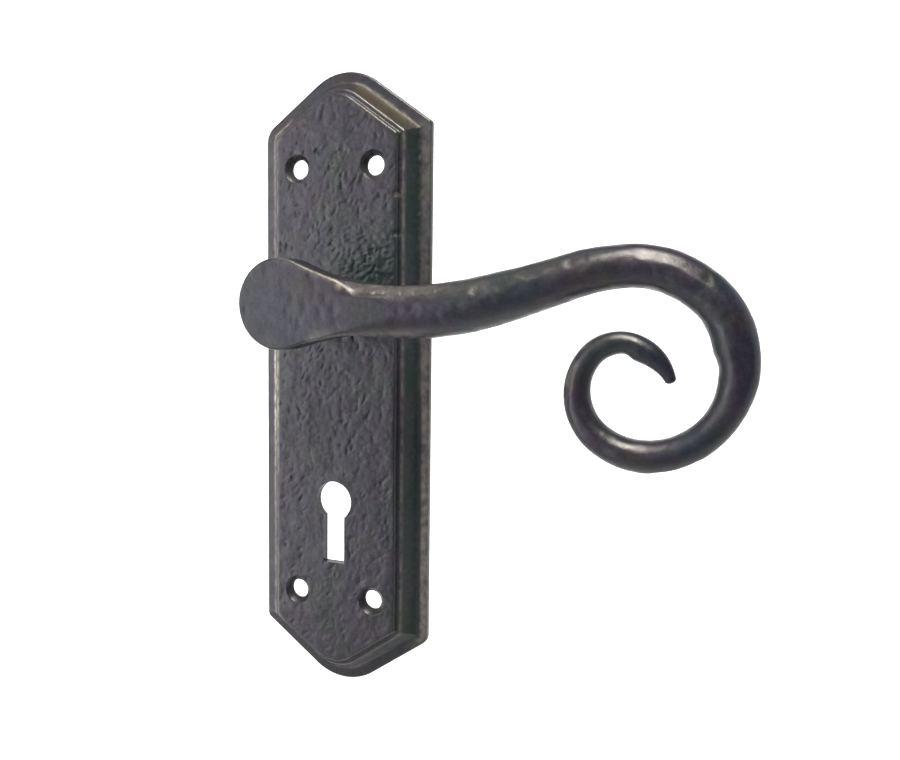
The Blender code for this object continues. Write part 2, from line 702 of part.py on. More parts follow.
def make_circlip(material):
    inner, outer = CLIP_RADII
    first, last = CLIP_GAP_HALF_DEG - 180, 180 - CLIP_GAP_HALF_DEG
    outline = arc_points((0.0, 0.0), CLIP_LUG_RADIUS, first, first + CLIP_LUG_DEG, 4)
    outline += arc_points((0.0, 0.0), outer, first + CLIP_LUG_DEG + 4, last - CLIP_LUG_DEG - 4, 29)
    outline += arc_points((0.0, 0.0), CLIP_LUG_RADIUS, last - CLIP_LUG_DEG, last, 4)
    outline += arc_points((0.0, 0.0), inner, last, first, 33)
    bm = bmesh.new()
    prism(bm, outline, *CLIP_Y)
    clip = make_object("circlip", bm, material)
    bm = bmesh.new()
    for degrees in (first + CLIP_LUG_DEG / 2, last - CLIP_LUG_DEG / 2):
        place = clockwise(CLIP_EYE_AT_RADIUS, degrees)
        rod(bm, CLIP_EYE_RADIUS, CLIP_Y[0] - 1.0, CLIP_Y[1] + 1.0, place, segments=12)
    boolean(clip, bm, "DIFFERENCE")


def make_spring_cover(material):
    bm = bmesh.new()
    prism(bm, rounded_rectangle(*COVER_HALF, COVER_CORNER_RADIUS), *COVER_Y)
    cover = make_object("spring_cover", bm, material)
    bm = bmesh.new()
    through = (COVER_Y[0] - 1.0, COVER_Y[1] + 1.0)
    rod(bm, COVER_HOLE_RADIUS, *through, segments=ROUND_SEGMENTS)
    for place in post_places():
        rod(bm, COVER_SCREW_HOLE_RADIUS, *through, place)
    boolean(cover, bm, "DIFFERENCE")


# Spring, spindle and grub screw

def spring_leg(leg_radius, degrees, y, side):
    """Points from the end of a leg, along it and round the bend into the coil."""
    radial = Vector((*clockwise(1.0, degrees), 0.0))
    along = Vector((*clockwise(1.0, degrees + 90.0), 0.0)) * side
    bend_at = SPRING_RADIUS + SPRING_BEND
    points = [radial * leg_radius, radial * (leg_radius + bend_at) / 2]
    for i in range(5):
        angle = math.radians(90.0 * i / 5)
        out = bend_at - SPRING_BEND * math.sin(angle)
        points.append(radial * out + along * SPRING_BEND * (1 - math.cos(angle)))
    return [(p[0], y, p[1]) for p in points]


def spring_path():
    bend_deg = math.degrees(SPRING_BEND / SPRING_RADIUS)
    turn_deg = 360.0 * SPRING_TURNS
    back_y = SPRING_FRONT_Y + SPRING_PITCH * SPRING_TURNS
    moving_deg = SPRING_FIXED_DEG + turn_deg
    points = spring_leg(SPRING_LEG_RADII[0], SPRING_FIXED_DEG, SPRING_FRONT_Y, 1)
    steps = 40
    for i in range(steps + 1):
        t = i / steps
        x, z = clockwise(SPRING_RADIUS, SPRING_FIXED_DEG + bend_deg + (turn_deg - 2 * bend_deg) * t)
        points.append((x, SPRING_FRONT_Y + (back_y - SPRING_FRONT_Y) * t, z))
    points += reversed(spring_leg(SPRING_LEG_RADII[1], moving_deg, back_y, -1))
    return points


def make_return_spring(material):
    curve = bpy.data.curves.new("return_spring", "CURVE")
    curve.dimensions = "3D"
    curve.bevel_depth = WIRE_RADIUS * METRES
    curve.bevel_resolution = 2
    curve.use_fill_caps = True
    path = spring_path()
    spline = curve.splines.new("POLY")
    spline.points.add(len(path) - 1)
    for point, place in zip(spline.points, path):
        point.co = (*(value * METRES for value in place), 1.0)
    curve.materials.append(material)
    spring = bpy.data.objects.new("return_spring", curve)
    bpy.context.collection.objects.link(spring)


def make_spindle(material):
    front, back = SPINDLE_Y
    end = SPINDLE_END_CHAMFER
    rings = []
    for half, y in (
        (SPINDLE_HALF - end, front), (SPINDLE_HALF, front + end), (SPINDLE_HALF, back - end),
        (SPINDLE_HALF - end, back),
    ):
        rings.append([(x, y, z) for x, z in chamfered_square(half, SPINDLE_CHAMFER)])
    bm = bmesh.new()
    loft(bm, rings)
    make_object("spindle", bm, material)


def make_grub_screw(material):
    bm = bmesh.new()
    upright_rod(bm, GRUB_RADIUS, *GRUB_Z, GRUB_Y, chamfer=0.6)
    screw = make_object("grub_screw", bm, material)
    bm = bmesh.new()
    hex_radius = GRUB_HEX_FLATS / 2 / math.cos(math.pi / 6)
    upright_rod(bm, hex_radius, GRUB_Z[0] - 1.0, GRUB_Z[0] + GRUB_HEX_DEPTH, GRUB_Y, sides=6)
    boolean(screw, bm, "DIFFERENCE")


def build():
    clear_scene()
    iron = make_material("black_iron", (0.045, 0.045, 0.050), 0.55, 0.6)
    steel = make_material("zinc_steel", (0.55, 0.56, 0.57), 0.35, 1.0)
    spring_steel = make_material("spring_steel", (0.30, 0.30, 0.32), 0.35, 1.0)
    nylon = make_material("black_nylon", (0.03, 0.03, 0.03), 0.5, 0.0)
    make_backplate(iron)
    make_lever(iron)
    make_neck_bush(nylon)
    make_front_washer(nylon)
    make_wave_washer(spring_steel)
    make_return_spring(spring_steel)
    make_cam_plate(steel)
    make_circlip(spring_steel)
    make_pins(steel)
    make_spring_cover(steel)
    make_cover_screws(steel)
    make_spindle(steel)
    make_grub_screw(spring_steel)


build()
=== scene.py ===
import math

import bmesh
import bpy
import numpy as np
from mathutils import Matrix, Vector
from mathutils.geometry import delaunay_2d_cdt


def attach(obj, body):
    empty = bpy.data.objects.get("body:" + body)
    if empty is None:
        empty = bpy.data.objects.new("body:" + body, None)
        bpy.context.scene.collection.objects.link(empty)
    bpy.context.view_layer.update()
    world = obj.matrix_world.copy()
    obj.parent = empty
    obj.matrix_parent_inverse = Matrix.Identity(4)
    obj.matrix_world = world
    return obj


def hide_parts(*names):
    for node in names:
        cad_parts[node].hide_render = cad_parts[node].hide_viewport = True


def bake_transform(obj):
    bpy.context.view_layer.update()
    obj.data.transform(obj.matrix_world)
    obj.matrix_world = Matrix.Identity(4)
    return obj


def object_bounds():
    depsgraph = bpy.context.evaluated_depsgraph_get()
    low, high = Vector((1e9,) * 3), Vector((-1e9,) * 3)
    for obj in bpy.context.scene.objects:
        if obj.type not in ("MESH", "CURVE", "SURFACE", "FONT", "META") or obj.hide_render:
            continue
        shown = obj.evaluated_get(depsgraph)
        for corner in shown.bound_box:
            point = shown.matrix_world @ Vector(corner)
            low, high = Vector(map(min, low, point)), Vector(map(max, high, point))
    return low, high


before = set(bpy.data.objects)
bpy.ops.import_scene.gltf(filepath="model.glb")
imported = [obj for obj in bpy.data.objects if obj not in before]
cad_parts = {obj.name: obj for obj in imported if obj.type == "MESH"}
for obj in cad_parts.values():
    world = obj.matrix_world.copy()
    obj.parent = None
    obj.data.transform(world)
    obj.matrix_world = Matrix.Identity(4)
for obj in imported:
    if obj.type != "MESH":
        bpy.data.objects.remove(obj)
cad_box = [list(corner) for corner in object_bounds()]

# A black cast lever handle. Shapes are worked out in millimetres in the frame of the CAD part: the spindle's
# axis is +Y, the door's face is y = 0, the front faces -Y and +Z is up.
METRES = 0.001
FINE = 1.0
BOX_MARGIN = 0.002

# Backplate
PLATE_WIDTH = 54.0
PLATE_DEPTH = 8.2
PLATE_WALL = 2.4
TOP_CORNER_Z = 51.3
BOTTOM_CORNER_Z = -97.0
TOP_SHOULDER_DEG = 36.0
BOTTOM_SHOULDER_DEG = 35.0
APEX_RADIUS = 16.5
CORNER_RADII = (1.2, 3.0, 2.0, 6.0)
LIP_HEIGHT = 1.8
LIP_WIDTH = 3.1
LIP_RISE = 0.3
COVE_WIDTH = 2.9
COVE_HEIGHT = 4.5
LEDGE_WIDTH = 1.3
POCKET_INSET = 5.6
POCKET_DRAFT = 3.0
RIBS = ((25.0, 27.0), (-28.0, -26.0))
RIB_HALF_LENGTH = 20.6
BORE_RADIUS = 8.15
SCREW_HOLES = ((-12.25, 39.0), (12.25, 39.0), (-12.25, -85.0), (12.25, -85.0))
SCREW_HOLE_RADIUS = 2.8
COUNTERSINK = ((6.25, -10.2), (4.25, -8.3), (4.0, -8.05), (2.8, -6.95))
KEYHOLE_Z = -57.0
KEYHOLE_RADIUS = 5.7
KEYHOLE_SLOT_HALF = 3.4
KEYHOLE_BOTTOM_Z = -75.2
POST_AT = 15.0
THREAD_RADIUS = 1.45
PIN_CIRCLE = 15.0
STOP_PINS_DEG = (-16.08, 61.08)
ANCHOR_PIN_DEG = 188.63
PIN_HOLE_RADIUS = 1.55
EDGE_CHIPS = ((19.3, 31.0), (19.3, 20.0))
PLATE_STEP = 0.34 * FINE

# Lever
EYE_RADIUS = 11.85
EYE_FRONT_Y = -37.3
EYE_THICKNESS = 8.0
EYE_EDGE_RADIUS = 0.8
ARM_START_DEG = -3.1
ARM_STRAIGHT = 28.0
# Bends of the arm after its straight start: radius, and degrees turned (down the page is negative)
ARM_ARCS = (
    (88.0, 18.0), (360.0, 3.0), (58.0, -13.0), (24.0, -51.0), (20.9, -108.0),
    (17.5, -61.0), (13.0, -90.0), (9.5, -77.0), (12.5, -47.0),
)
ARM_MIDDLE_Y = -30.8
# Distance along the arm, half height and half depth
ARM_SECTIONS = (
    (0.0, 11.85, 4.0), (3.0, 11.4, 4.0), (6.0, 10.3, 4.1), (11.5, 8.5, 4.5), (16.0, 7.3, 5.2),
    (21.0, 6.6, 5.8), (28.0, 6.4, 6.2), (40.0, 6.6, 6.5), (54.0, 6.3, 6.3), (66.0, 5.7, 5.7),
    (77.0, 5.2, 5.2), (90.0, 4.9, 4.9), (112.0, 4.75, 4.75), (124.0, 4.3, 4.3), (138.0, 3.6, 3.6),
    (155.0, 3.7, 3.7), (170.0, 3.4, 3.4), (185.0, 2.9, 2.9), (198.0, 2.5, 2.5), (205.0, 2.1, 2.1),
    (211.0, 1.3, 1.3),
)
FLUSH_TO = 40.0
ROUND_BETWEEN = (13.0, 38.0)
ARM_STEP = 0.6 * FINE
CORNER_POINTS = 12
TIP_ROUNDING = 1.0
NECK_PROFILE = (
    (9.8, -30.8), (9.8, -29.0), (9.3, -27.6), (8.6, -26.9), (8.2, -26.4), (8.2, -9.25), (8.0, -9.05),
    (7.2, -9.05), (7.2, -1.65), (6.6, -1.65), (6.6, -0.75), (7.2, -0.75), (7.2, -0.45), (7.0, -0.25),
)
SOCKET_HALF = 4.2
SOCKET_CORNER = 3.7
NECK_FLAT_Z = 6.2
GRUB_Y = -17.5
GRUB_RADIUS = 2.5

# Return spring: a coil of one and a quarter turns with a leg at each end
SPRING_RADIUS = 10.7
SPRING_BEND = 1.2
SPRING_START_DEG = 180.0
SPRING_TURN_DEG = 450.0
SPRING_FRONT_Y = -5.1
SPRING_RISE = 1.5625
SPRING_LEGS = (15.8, 15.4)
SPRING_WIRE_RADIUS = 0.58


# Numbers: noise, smooth steps, places on circles

def hashed(cell, seed):
    """A pseudo-random whole number for each lattice cell."""
    x, y, z = cell.astype(np.uint64).T
    mixed = x * np.uint64(73856093) ^ y * np.uint64(19349663) ^ z * np.uint64(83492791)
    mixed = (mixed + np.uint64(seed * 2654435761)) & np.uint64(0xFFFFFFFF)
    for shift, factor in ((15, 2246822519), (13, 3266489917)):
        mixed = (mixed ^ (mixed >> np.uint64(shift))) * np.uint64(factor) & np.uint64(0xFFFFFFFF)
    return mixed ^ (mixed >> np.uint64(16))


def noise(points, size, seed):
    """Smooth noise, about -1 to 1, with features of the given size (a number, or one for each axis)."""
    scaled = points / np.asarray(size, float) + 100.0 + seed * 7.13
    cell = np.floor(scaled).astype(np.int64)
    part = scaled - cell
    ease = part ** 3 * (part * (part * 6 - 15) + 10)
    total = np.zeros(len(points))
    for corner in np.ndindex(2, 2, 2):
        value = hashed(cell + corner, seed)
        away = part - corner
        slope = sum(((value >> np.uint64(8 * k)) % 256 / 127.5 - 1.0) * away[:, k] for k in range(3))
        weight = np.prod(np.where(corner, ease, 1 - ease), axis=1)
        total += weight * slope
    return total * 1.5


def smooth(values, low, high):
    t = np.clip((values - low) / (high - low), 0, 1)
    return t * t * (3 - 2 * t)


def between(values, low, low_end, high, high_end):
    """1 from low_end to high, fading smoothly to 0 at low and at high_end."""
    return smooth(values, low, low_end) * (1 - smooth(values, high, high_end))


def bell(*ratios):
    """1 where every ratio is 0, fading smoothly to 0 beyond 1."""
    return np.exp(-sum(ratio ** 2 for ratio in ratios))


def clockwise(radius, degrees):
    """The place on a circle at an angle clockwise from the top."""
    angle = math.radians(degrees)
    return radius * math.sin(angle), radius * math.cos(angle)


def arc(centre, radius, start, end, count):
    steps = [start + (end - start) * i / (count - 1) for i in range(count)]
    return [(centre[0] + x, centre[1] + z) for x, z in (clockwise(radius, a) for a in steps)]


# Mesh helpers

def in_scene(name, data):
    """A new object in the scene for a mesh, a light or a camera."""
    thing = bpy.data.objects.new(name, data)
    bpy.context.scene.collection.objects.link(thing)
    return thing


def new_mesh(name, points, faces):
    mesh = bpy.data.meshes.new(name)
    mesh.from_pydata([tuple(p) for p in np.asarray(points) * METRES], [], faces)
    mesh.validate()
    bm = bmesh.new()
    bm.from_mesh(mesh)
    bmesh.ops.remove_doubles(bm, verts=bm.verts, dist=1e-8)
    bmesh.ops.recalc_face_normals(bm, faces=bm.faces)
    bm.to_mesh(mesh)
    bm.free()
    return in_scene(name, mesh)


def ring_faces(rows, width, closed=True):
    """Quads between rows of points, and n-gons over the first and the last row."""
    faces = []
    for r in range(rows - 1):
        for i in range(width):
            j = (i + 1) % width
            faces.append((r * width + i, r * width + j, (r + 1) * width + j, (r + 1) * width + i))
    if closed:
        faces.append(tuple(range(width)))
        faces.append(tuple(range((rows - 1) * width, rows * width)))
    return faces


def lofted(name, rings):
    points = [p for row in rings for p in row]
    return new_mesh(name, points, ring_faces(len(rings), len(rings[0])))


def prism(name, outline, front_y, back_y):
    return lofted(name, [[(x, y, z) for x, z in outline] for y in (front_y, back_y)])


def turned(name, profile, at=(0.0, 0.0), segments=64):
    """An open profile of (radius, y) turned about the axis along Y and closed flat at both ends."""
    rows = []
    for radius, y in profile:
        spots = (clockwise(radius, 360.0 * k / segments) for k in range(segments))
        rows.append([(at[0] + x, y, at[1] + z) for x, z in spots])
    return lofted(name, rows)


def block(name, x, y, z):
    return prism(name, [(x[0], z[0]), (x[1], z[0]), (x[1], z[1]), (x[0], z[1])], *y)


def combine(target, tool, operation):
    """Add a tool to the target, or take it away from it. The tool is used up."""
    modifier = target.modifiers.new("combine", "BOOLEAN")
    modifier.operation = operation
    modifier.solver = "MANIFOLD"
    modifier.object = tool
    graph = bpy.context.evaluated_depsgraph_get()
    result = bpy.data.meshes.new_from_object(target.evaluated_get(graph))
    target.modifiers.remove(modifier)
    if not result.polygons:
        raise RuntimeError(f"{operation} with {tool.name} left nothing of {target.name}")
    target.data = result
    bpy.data.objects.remove(tool)


def vectors(items, key):
    values = np.empty(len(items) * 3, np.float32)
    items.foreach_get(key, values)
    return values.reshape(-1, 3)


def coordinates(mesh):
    """The vertices' places in millimetres."""
    return vectors(mesh.vertices, "co").astype(float) / METRES


def set_coordinates(mesh, points):
    mesh.vertices.foreach_set("co", (points * METRES).astype(np.float32).ravel())
    mesh.update()


def push(mesh, amounts):
    """Move each vertex along its normal by an amount in millimetres."""
    set_coordinates(mesh, coordinates(mesh) + vectors(mesh.vertex_normals, "vector") * amounts[:, None])


def keep_inside(mesh):
    """Pull the few points that the relief pushed past the CAD part's box back onto it."""
    low, high = (np.array(corner) / METRES for corner in cad_box)
    set_coordinates(mesh, np.clip(coordinates(mesh), low + BOX_MARGIN, high - BOX_MARGIN))


def shade(thing, sharp_deg=35.0):
    thing.data.shade_smooth()
    thing.data.set_sharp_from_angle(angle=math.radians(sharp_deg))


def point_attributes(thing, **layers):
    for name, values in layers.items():
        layer = thing.data.attributes.new(name, "FLOAT", "POINT")
        layer.data.foreach_set("value", np.asarray(values, np.float32))


# Backplate

def fillet(corner, before, after, radius, count):
    half = math.radians((after - before) / 2)
    x, z = clockwise(radius / math.cos(half), (before + after) / 2)
    return arc((corner[0] - x, corner[1] - z), radius, before, after, count)


def plate_corners(inset):
    """Rounded corners of the outline, moved inwards: a list of point lists, clockwise from the top."""
    half = PLATE_WIDTH / 2 - inset
    top, bottom = math.radians(TOP_SHOULDER_DEG), math.radians(BOTTOM_SHOULDER_DEG)
    top_apex = TOP_CORNER_Z + PLATE_WIDTH / 2 * math.tan(top) - inset / math.cos(top)
    bottom_apex = BOTTOM_CORNER_Z - PLATE_WIDTH / 2 * math.tan(bottom) + inset / math.cos(bottom)
    top_z = top_apex - half * math.tan(top)
    bottom_z = bottom_apex + half * math.tan(bottom)
    radii = [max(r - inset, 0.3) for r in CORNER_RADII]
    up, down = TOP_SHOULDER_DEG, BOTTOM_SHOULDER_DEG
    return [
        fillet((0.0, top_apex), -up, up, APEX_RADIUS - inset, 41),
        fillet((half, top_z), up, 90, radii[0], 5),
        fillet((half, bottom_z), 90, 180 - down, radii[1], 7),
        fillet((0.0, bottom_apex), 180 - down, 180 + down, APEX_RADIUS - inset, 41),
        fillet((-half, bottom_z), 180 + down, 270, radii[2], 7),
        fillet((-half, top_z), 270, 360 - up, radii[3], 15),
    ]


def plate_outline(inset, steps=None):
    """The outline as one loop. Steps gives how many pieces each straight side is cut into."""
    corners = plate_corners(inset)
    loop = []
    for k, corner in enumerate(corners):
        loop += corner
        if steps:
            a, b = Vector(corner[-1]), Vector(corners[(k + 1) % 6][0])
            loop += [tuple(a.lerp(b, i / steps[k])) for i in range(1, steps[k])]
    return loop


def rounded_profile(corners):
    """Replace each corner (inset, y, radius) with an arc, and cut long runs into short ones."""
    points = [Vector(corners[0][:2])]
    for before, here, after in zip(corners, corners[1:], corners[2:]):
        a, b, c = (Vector(v[:2]) for v in (before, here, after))
        reach = min(here[2], (a - b).length / 2.2, (c - b).length / 2.2)
        start, end = b + (a - b).normalized() * reach, b + (c - b).normalized() * reach
        for i in range(5):
            t = i / 4
            points.append(start * (1 - t) ** 2 + b * 2 * t * (1 - t) + end * t ** 2)
    points.append(Vector(corners[-1][:2]))
    fine = [points[0]]
    for a, b in zip(points, points[1:]):
        cuts = max(1, round((b - a).length / (PLATE_STEP * 1.2)))
        fine += [a.lerp(b, i / cuts) for i in range(1, cuts + 1)]
    return fine


def plate_profile():
    """(inset, y) from the back edge, over the lip, the cove and the ledge, to just inside the face."""
    lip_y = -LIP_HEIGHT - LIP_RISE
    ledge_y = lip_y - COVE_HEIGHT
    ledge = LIP_WIDTH + COVE_WIDTH
    face = ledge + LEDGE_WIDTH
    steps = [k / 6 for k in range(1, 6)]
    cove = [(LIP_WIDTH + COVE_WIDTH * t, lip_y - COVE_HEIGHT * t ** 1.45, 0.3) for t in steps]
    return rounded_profile([
        (0.0, 0.0, 0.0), (0.0, -LIP_HEIGHT, 0.55), (LIP_WIDTH, lip_y, 0.35), *cove, (ledge, ledge_y, 0.42),
        (face, ledge_y - 0.05, 0.25), (face + 0.3, -PLATE_DEPTH, 0.5), (face + 1.4, -PLATE_DEPTH, 0.0),
    ])


def plate_insets(points):
    """How far inside the plate's outline each point is."""
    loop = np.array(plate_outline(0.0))
    start, end = loop, np.roll(loop, -1, axis=0)
    nearest = np.full(len(points), 1e9)
    flat = points[:, (0, 2)]
    for a, b in zip(start, end):
        along = b - a
        t = np.clip((flat - a) @ along / (along @ along + 1e-12), 0, 1)
        nearest = np.minimum(nearest, np.linalg.norm(flat - (a + t[:, None] * along), axis=1))
    return nearest


def dents(points, count, seed):
    """Short slanting dents and small pits in the face: how deep each point lies in them."""
    rng = np.random.default_rng(seed)
    depth = np.zeros(len(points))
    for _ in range(count):
        x, z = rng.uniform(-21, 21), rng.uniform(-112, 67)
        lean = math.radians(rng.normal(30, 24))
        long, wide = rng.uniform(0.60, 1.45), rng.uniform(0.28, 0.50)
        strength = rng.uniform(0.25, 1.0) ** 1.3
        near = np.flatnonzero((abs(points[:, 0] - x) < 3) & (abs(points[:, 2] - z) < 3))
        dx, dz = points[near, 0] - x, points[near, 2] - z
        along = dx * math.sin(lean) + dz * math.cos(lean)
        across = dx * math.cos(lean) - dz * math.sin(lean) + 0.12 * along ** 2
        depth[near] += strength * bell(along / long, across / wide)
    return np.minimum(depth, 1.3)


def plate_relief(points):
    """Height of the pitted skin above the casting's plain shape. It is wrinkled just above the arm."""
    x, y, z = points.T
    inset = plate_insets(points)
    face = smooth(inset, 7.5, 8.6)
    front = smooth(-y, 0.4, 1.6)
    crowded = smooth(noise(points, 9.0, 14), -0.35, 0.45)
    wrinkled = bell((x - 9.0) / 9.0, (z - 15.0) / 7.0)
    broad = 0.11 * noise(points, 13.0, 1) + 0.085 * noise(points, 5.5, 2) + 0.05 * noise(points, 2.8, 15)
    swirl = noise(points, (1.2, 1.2, 2.0), 3) * (0.035 + 0.05 * wrinkled) + noise(points, 0.8, 4) * 0.010
    ridges = (abs(noise(points, (3.2, 3.2, 1.8), 5)) - 0.3) * (0.06 + 0.34 * wrinkled)
    pits = dents(points, 1150, 11) * (0.06 + 0.18 * crowded + 0.10 * wrinkled)
    pits *= 1 - 0.35 * smooth(-z, 10.0, 45.0)
    relief = face * (broad + swirl - ridges - pits)
    cove = between(inset, 2.2, 3.4, 5.0, 6.0)
    cove *= 1 - 0.75 * smooth(z, 48.0, 53.0)
    relief += cove * (0.10 * noise(points, (2.5, 2.5, 1.5), 6) + 0.07 * noise(points, 0.9, 7))
    root = bell((inset - LIP_WIDTH) / 0.7)
    relief += root * 0.16 * np.clip(noise(points, (3.0, 3.0, 3.4), 8) + 0.3, 0, 1)
    border = (1 - face) * (0.035 * noise(points, 3.0, 9) + 0.016 * noise(points, 0.8, 10))
    edge = bell((inset - 7.6) / 0.6) + bell((inset - 6.0) / 0.5)
    relief -= edge * 0.12 * np.clip(noise(points, (1.6, 1.6, 2.4), 12), 0, 1)
    for chip_x, chip_z in EDGE_CHIPS:
        relief -= 0.35 * bell((x - chip_x) / 0.7, (z - chip_z) / 0.9)
    held = smooth(inset, 0.1, 0.9)
    return front * (held * (relief + border) + (1 - held) * np.minimum(border, 0.0))


def make_plate_front():
    """The plate as a closed body: its relief in front and a flat back."""
    corners = plate_corners(0.0)
    steps = []
    for before, after in zip(corners, corners[1:] + corners[:1]):
        gap = (Vector(before[-1]) - Vector(after[0])).length
        steps.append(max(2, round(gap / PLATE_STEP)))
    profile = plate_profile()
    rings = [[(x, p.y, z) for x, z in plate_outline(p.x, steps)] for p in profile]
    width = len(rings[0])
    points = [p for row in rings for p in row]
    faces = ring_faces(len(rings), width, closed=False)
    faces.append(tuple(range(width)))

    # The face inside the last ring: a triangular grid of points, joined to the ring
    low, high = np.min(rings[-1], axis=0), np.max(rings[-1], axis=0)
    rows = np.arange(low[2], high[2], PLATE_STEP * 0.866)
    columns = np.arange(low[0], high[0], PLATE_STEP)
    grid = np.array([(x + (r % 2) * PLATE_STEP / 2, 0.0, z) for r, z in enumerate(rows) for x in columns])
    grid = grid[plate_insets(grid) > profile[-1].x + PLATE_STEP * 0.6]
    x, _, z = grid.T
    grid = grid[(abs(x) < PLATE_WIDTH / 2) & (z < 66) & (z > -111)]
    spots = [Vector((x, z)) for x, _, z in (*rings[-1], *grid)]
    places, _, triangles, sources = delaunay_2d_cdt(spots, [], [list(range(width))], 1, 1e-6, True)[:4]
    on_ring = [source[0] < width for source in sources]
    index = []
    for place, source, old in zip(places, sources, on_ring):
        if old:
            index.append((len(rings) - 1) * width + source[0])
        else:
            index.append(len(points))
            points.append((place.x, profile[-1].y, place.y))
    for triangle in triangles:
        a, b, c = (places[i] for i in triangle)
        longest = max((b - a).length, (c - a).length, (c - b).length)
        thin = abs((b - a).cross(c - a)) < 1e-3 * longest ** 2
        if not (thin and all(on_ring[i] for i in triangle)):
            faces.append(tuple(index[i] for i in triangle))
    plate = new_mesh("backplate_casting", points, faces)
    push(plate.data, plate_relief(coordinates(plate.data)))
    keep_inside(plate.data)
    return plate


def plate_cutter():
    """Everything taken out of the casting: the hollow back less its bosses and ribs, and the holes."""
    floor_y = PLATE_WALL - PLATE_DEPTH
    slope = POCKET_DRAFT / -floor_y
    levels = [(POCKET_INSET - slope, 1.0), (POCKET_INSET + POCKET_DRAFT, floor_y)]
    cutter = lofted("pocket", [[(x, y, z) for x, z in plate_outline(inset)] for inset, y in levels])
    root_y = floor_y - 0.4
    posts = [(x * POST_AT, z * POST_AT) for x, z in ((1, 1), (1, -1), (-1, -1), (-1, 1))]
    stops = [clockwise(PIN_CIRCLE, degrees) for degrees in STOP_PINS_DEG]
    kept = [turned("boss", [(9.75, root_y), (9.6, -4.6), (9.4, -4.4)])]
    kept += [turned("post", [(3.2, root_y), (3.0, -2.0), (2.8, -1.75)], place, 32) for place in posts]
    kept += [turned("pad", [(2.8, root_y), (2.6, -4.6)], place, 32) for place in stops]
    kept += [block("rib", (-RIB_HALF_LENGTH, RIB_HALF_LENGTH), (root_y, -0.6), height) for height in RIBS]
    for piece in kept:
        combine(cutter, piece, "DIFFERENCE")

    front = -PLATE_DEPTH - 2.0
    reach = floor_y + 1.0
    slot_deg = math.degrees(math.asin(KEYHOLE_SLOT_HALF / KEYHOLE_RADIUS))
    keyhole = arc((0.0, KEYHOLE_Z), KEYHOLE_RADIUS, slot_deg - 180, 180 - slot_deg, 49)
    keyhole += [(KEYHOLE_SLOT_HALF, KEYHOLE_BOTTOM_Z), (-KEYHOLE_SLOT_HALF, KEYHOLE_BOTTOM_Z)]
    pins = [*stops, clockwise(PIN_CIRCLE, ANCHOR_PIN_DEG)]
    sink = [*COUNTERSINK, (SCREW_HOLE_RADIUS, reach)]
    thread = [(THREAD_RADIUS, -5.5), (THREAD_RADIUS, -0.75)]
    pin_hole = [(PIN_HOLE_RADIUS, -7.3), (PIN_HOLE_RADIUS, -4.3)]
    bore = [(BORE_RADIUS, front), (BORE_RADIUS, -3.4)]
    holes = [turned("bore", bore), prism("keyhole", keyhole, front, reach)]
    holes += [turned("screw_hole", sink, place, 48) for place in SCREW_HOLES]
    holes += [turned("thread", thread, place, 24) for place in posts]
    holes += [turned("pin_hole", pin_hole, place, 24) for place in pins]
    for hole in holes:
        combine(cutter, hole, "UNION")
    return cutter


def plate_wear(points):
    """Where the finish is painted lighter: painted highlights on the edges of the left and upper right steps,
    and on the right lip and ledge, and worn spots at the edge chips.
    """
    x, y, z = points.T
    inset, depth = plate_insets(points), -y
    wear = np.zeros(len(points))
    for at_inset, at_depth, reach, amount in (
        (6.0, 6.6, 0.40, 1.0), (7.7, 8.2, 0.36, 0.9), (3.05, 2.1, 0.40, 0.9),
    ):
        wear = np.maximum(wear, amount * bell((inset - at_inset) / reach, (depth - at_depth) / reach))
    shoulder = smooth(z, 50.0, 53.0) * smooth(x, 1.0, 6.0)
    left = 1 - smooth(x, -19.0, -17.0)
    # Painted highlight along the left step's edge, brightest near z = -24.
    left_line_gain = 0.55 + 1.4 * bell((z + 24.0) / 20.0)
    wear *= 0.03 + 0.22 * shoulder + left * left_line_gain
    # Painted light on the right ledge, and on the right lip, where it grows towards the bottom.
    right = smooth(x, 17.0, 20.0) * between(z, -101.0, -93.0, 48.0, 54.0)
    ledge = bell((inset - 6.15) / 0.35) * smooth(depth, 5.6, 6.2)
    wear = np.maximum(wear, 0.24 * right * ledge)
    edge = LIP_WIDTH - 0.7 * smooth(-z, 5.0, 40.0)
    lip = (1 - smooth(inset, edge - 0.8, edge)) * smooth(depth, 1.0, 1.6)
    wear = np.maximum(wear, right * lip * (0.13 + 0.22 * smooth(-z, 0.0, 60.0)))
    # Worn spots at the edge chips.
    for chip_x, chip_z in ((19.3, 30.2), (19.3, 19.2), (19.2, 30.9)):
        wear = np.maximum(wear, 0.25 * bell((x - chip_x) / 0.4, (z - chip_z) / 0.4))
    return wear


def plate_stain(points):
    """Painted shade, darker and greener: in the right cove, and a painted shadow of the arm on the wrinkles
    above it.
    """
    x, _, z = points.T
    inset = plate_insets(points)
    start = 2.7 - 0.9 * smooth(-z, 5.0, 40.0) + 0.3 * noise(points, 4.0, 18)
    cove = smooth(inset - start, 0.0, 0.6) * (1 - smooth(inset, 5.4, 6.0)) * smooth(x, 10.0, 18.0)
    patches = smooth(noise(points, 9.0, 16) + 0.5 * noise(points, 2.0, 17), -0.5, 0.7)
    cove *= 1 - smooth(z, 47.0, 51.0)
    return cove * (0.35 + 0.65 * patches), bell((x - 12.0) / 9.5, (z - 10.0) / 7.0)


def plate_rust(points):
    """Painted shade, darker and browner: in the cove of the upper right shoulder."""
    cove = between(plate_insets(points), 2.4, 3.0, 5.4, 6.0)
    return cove * smooth(points[:, 2], 48.0, 51.0) * smooth(points[:, 0], 1.0, 7.0)


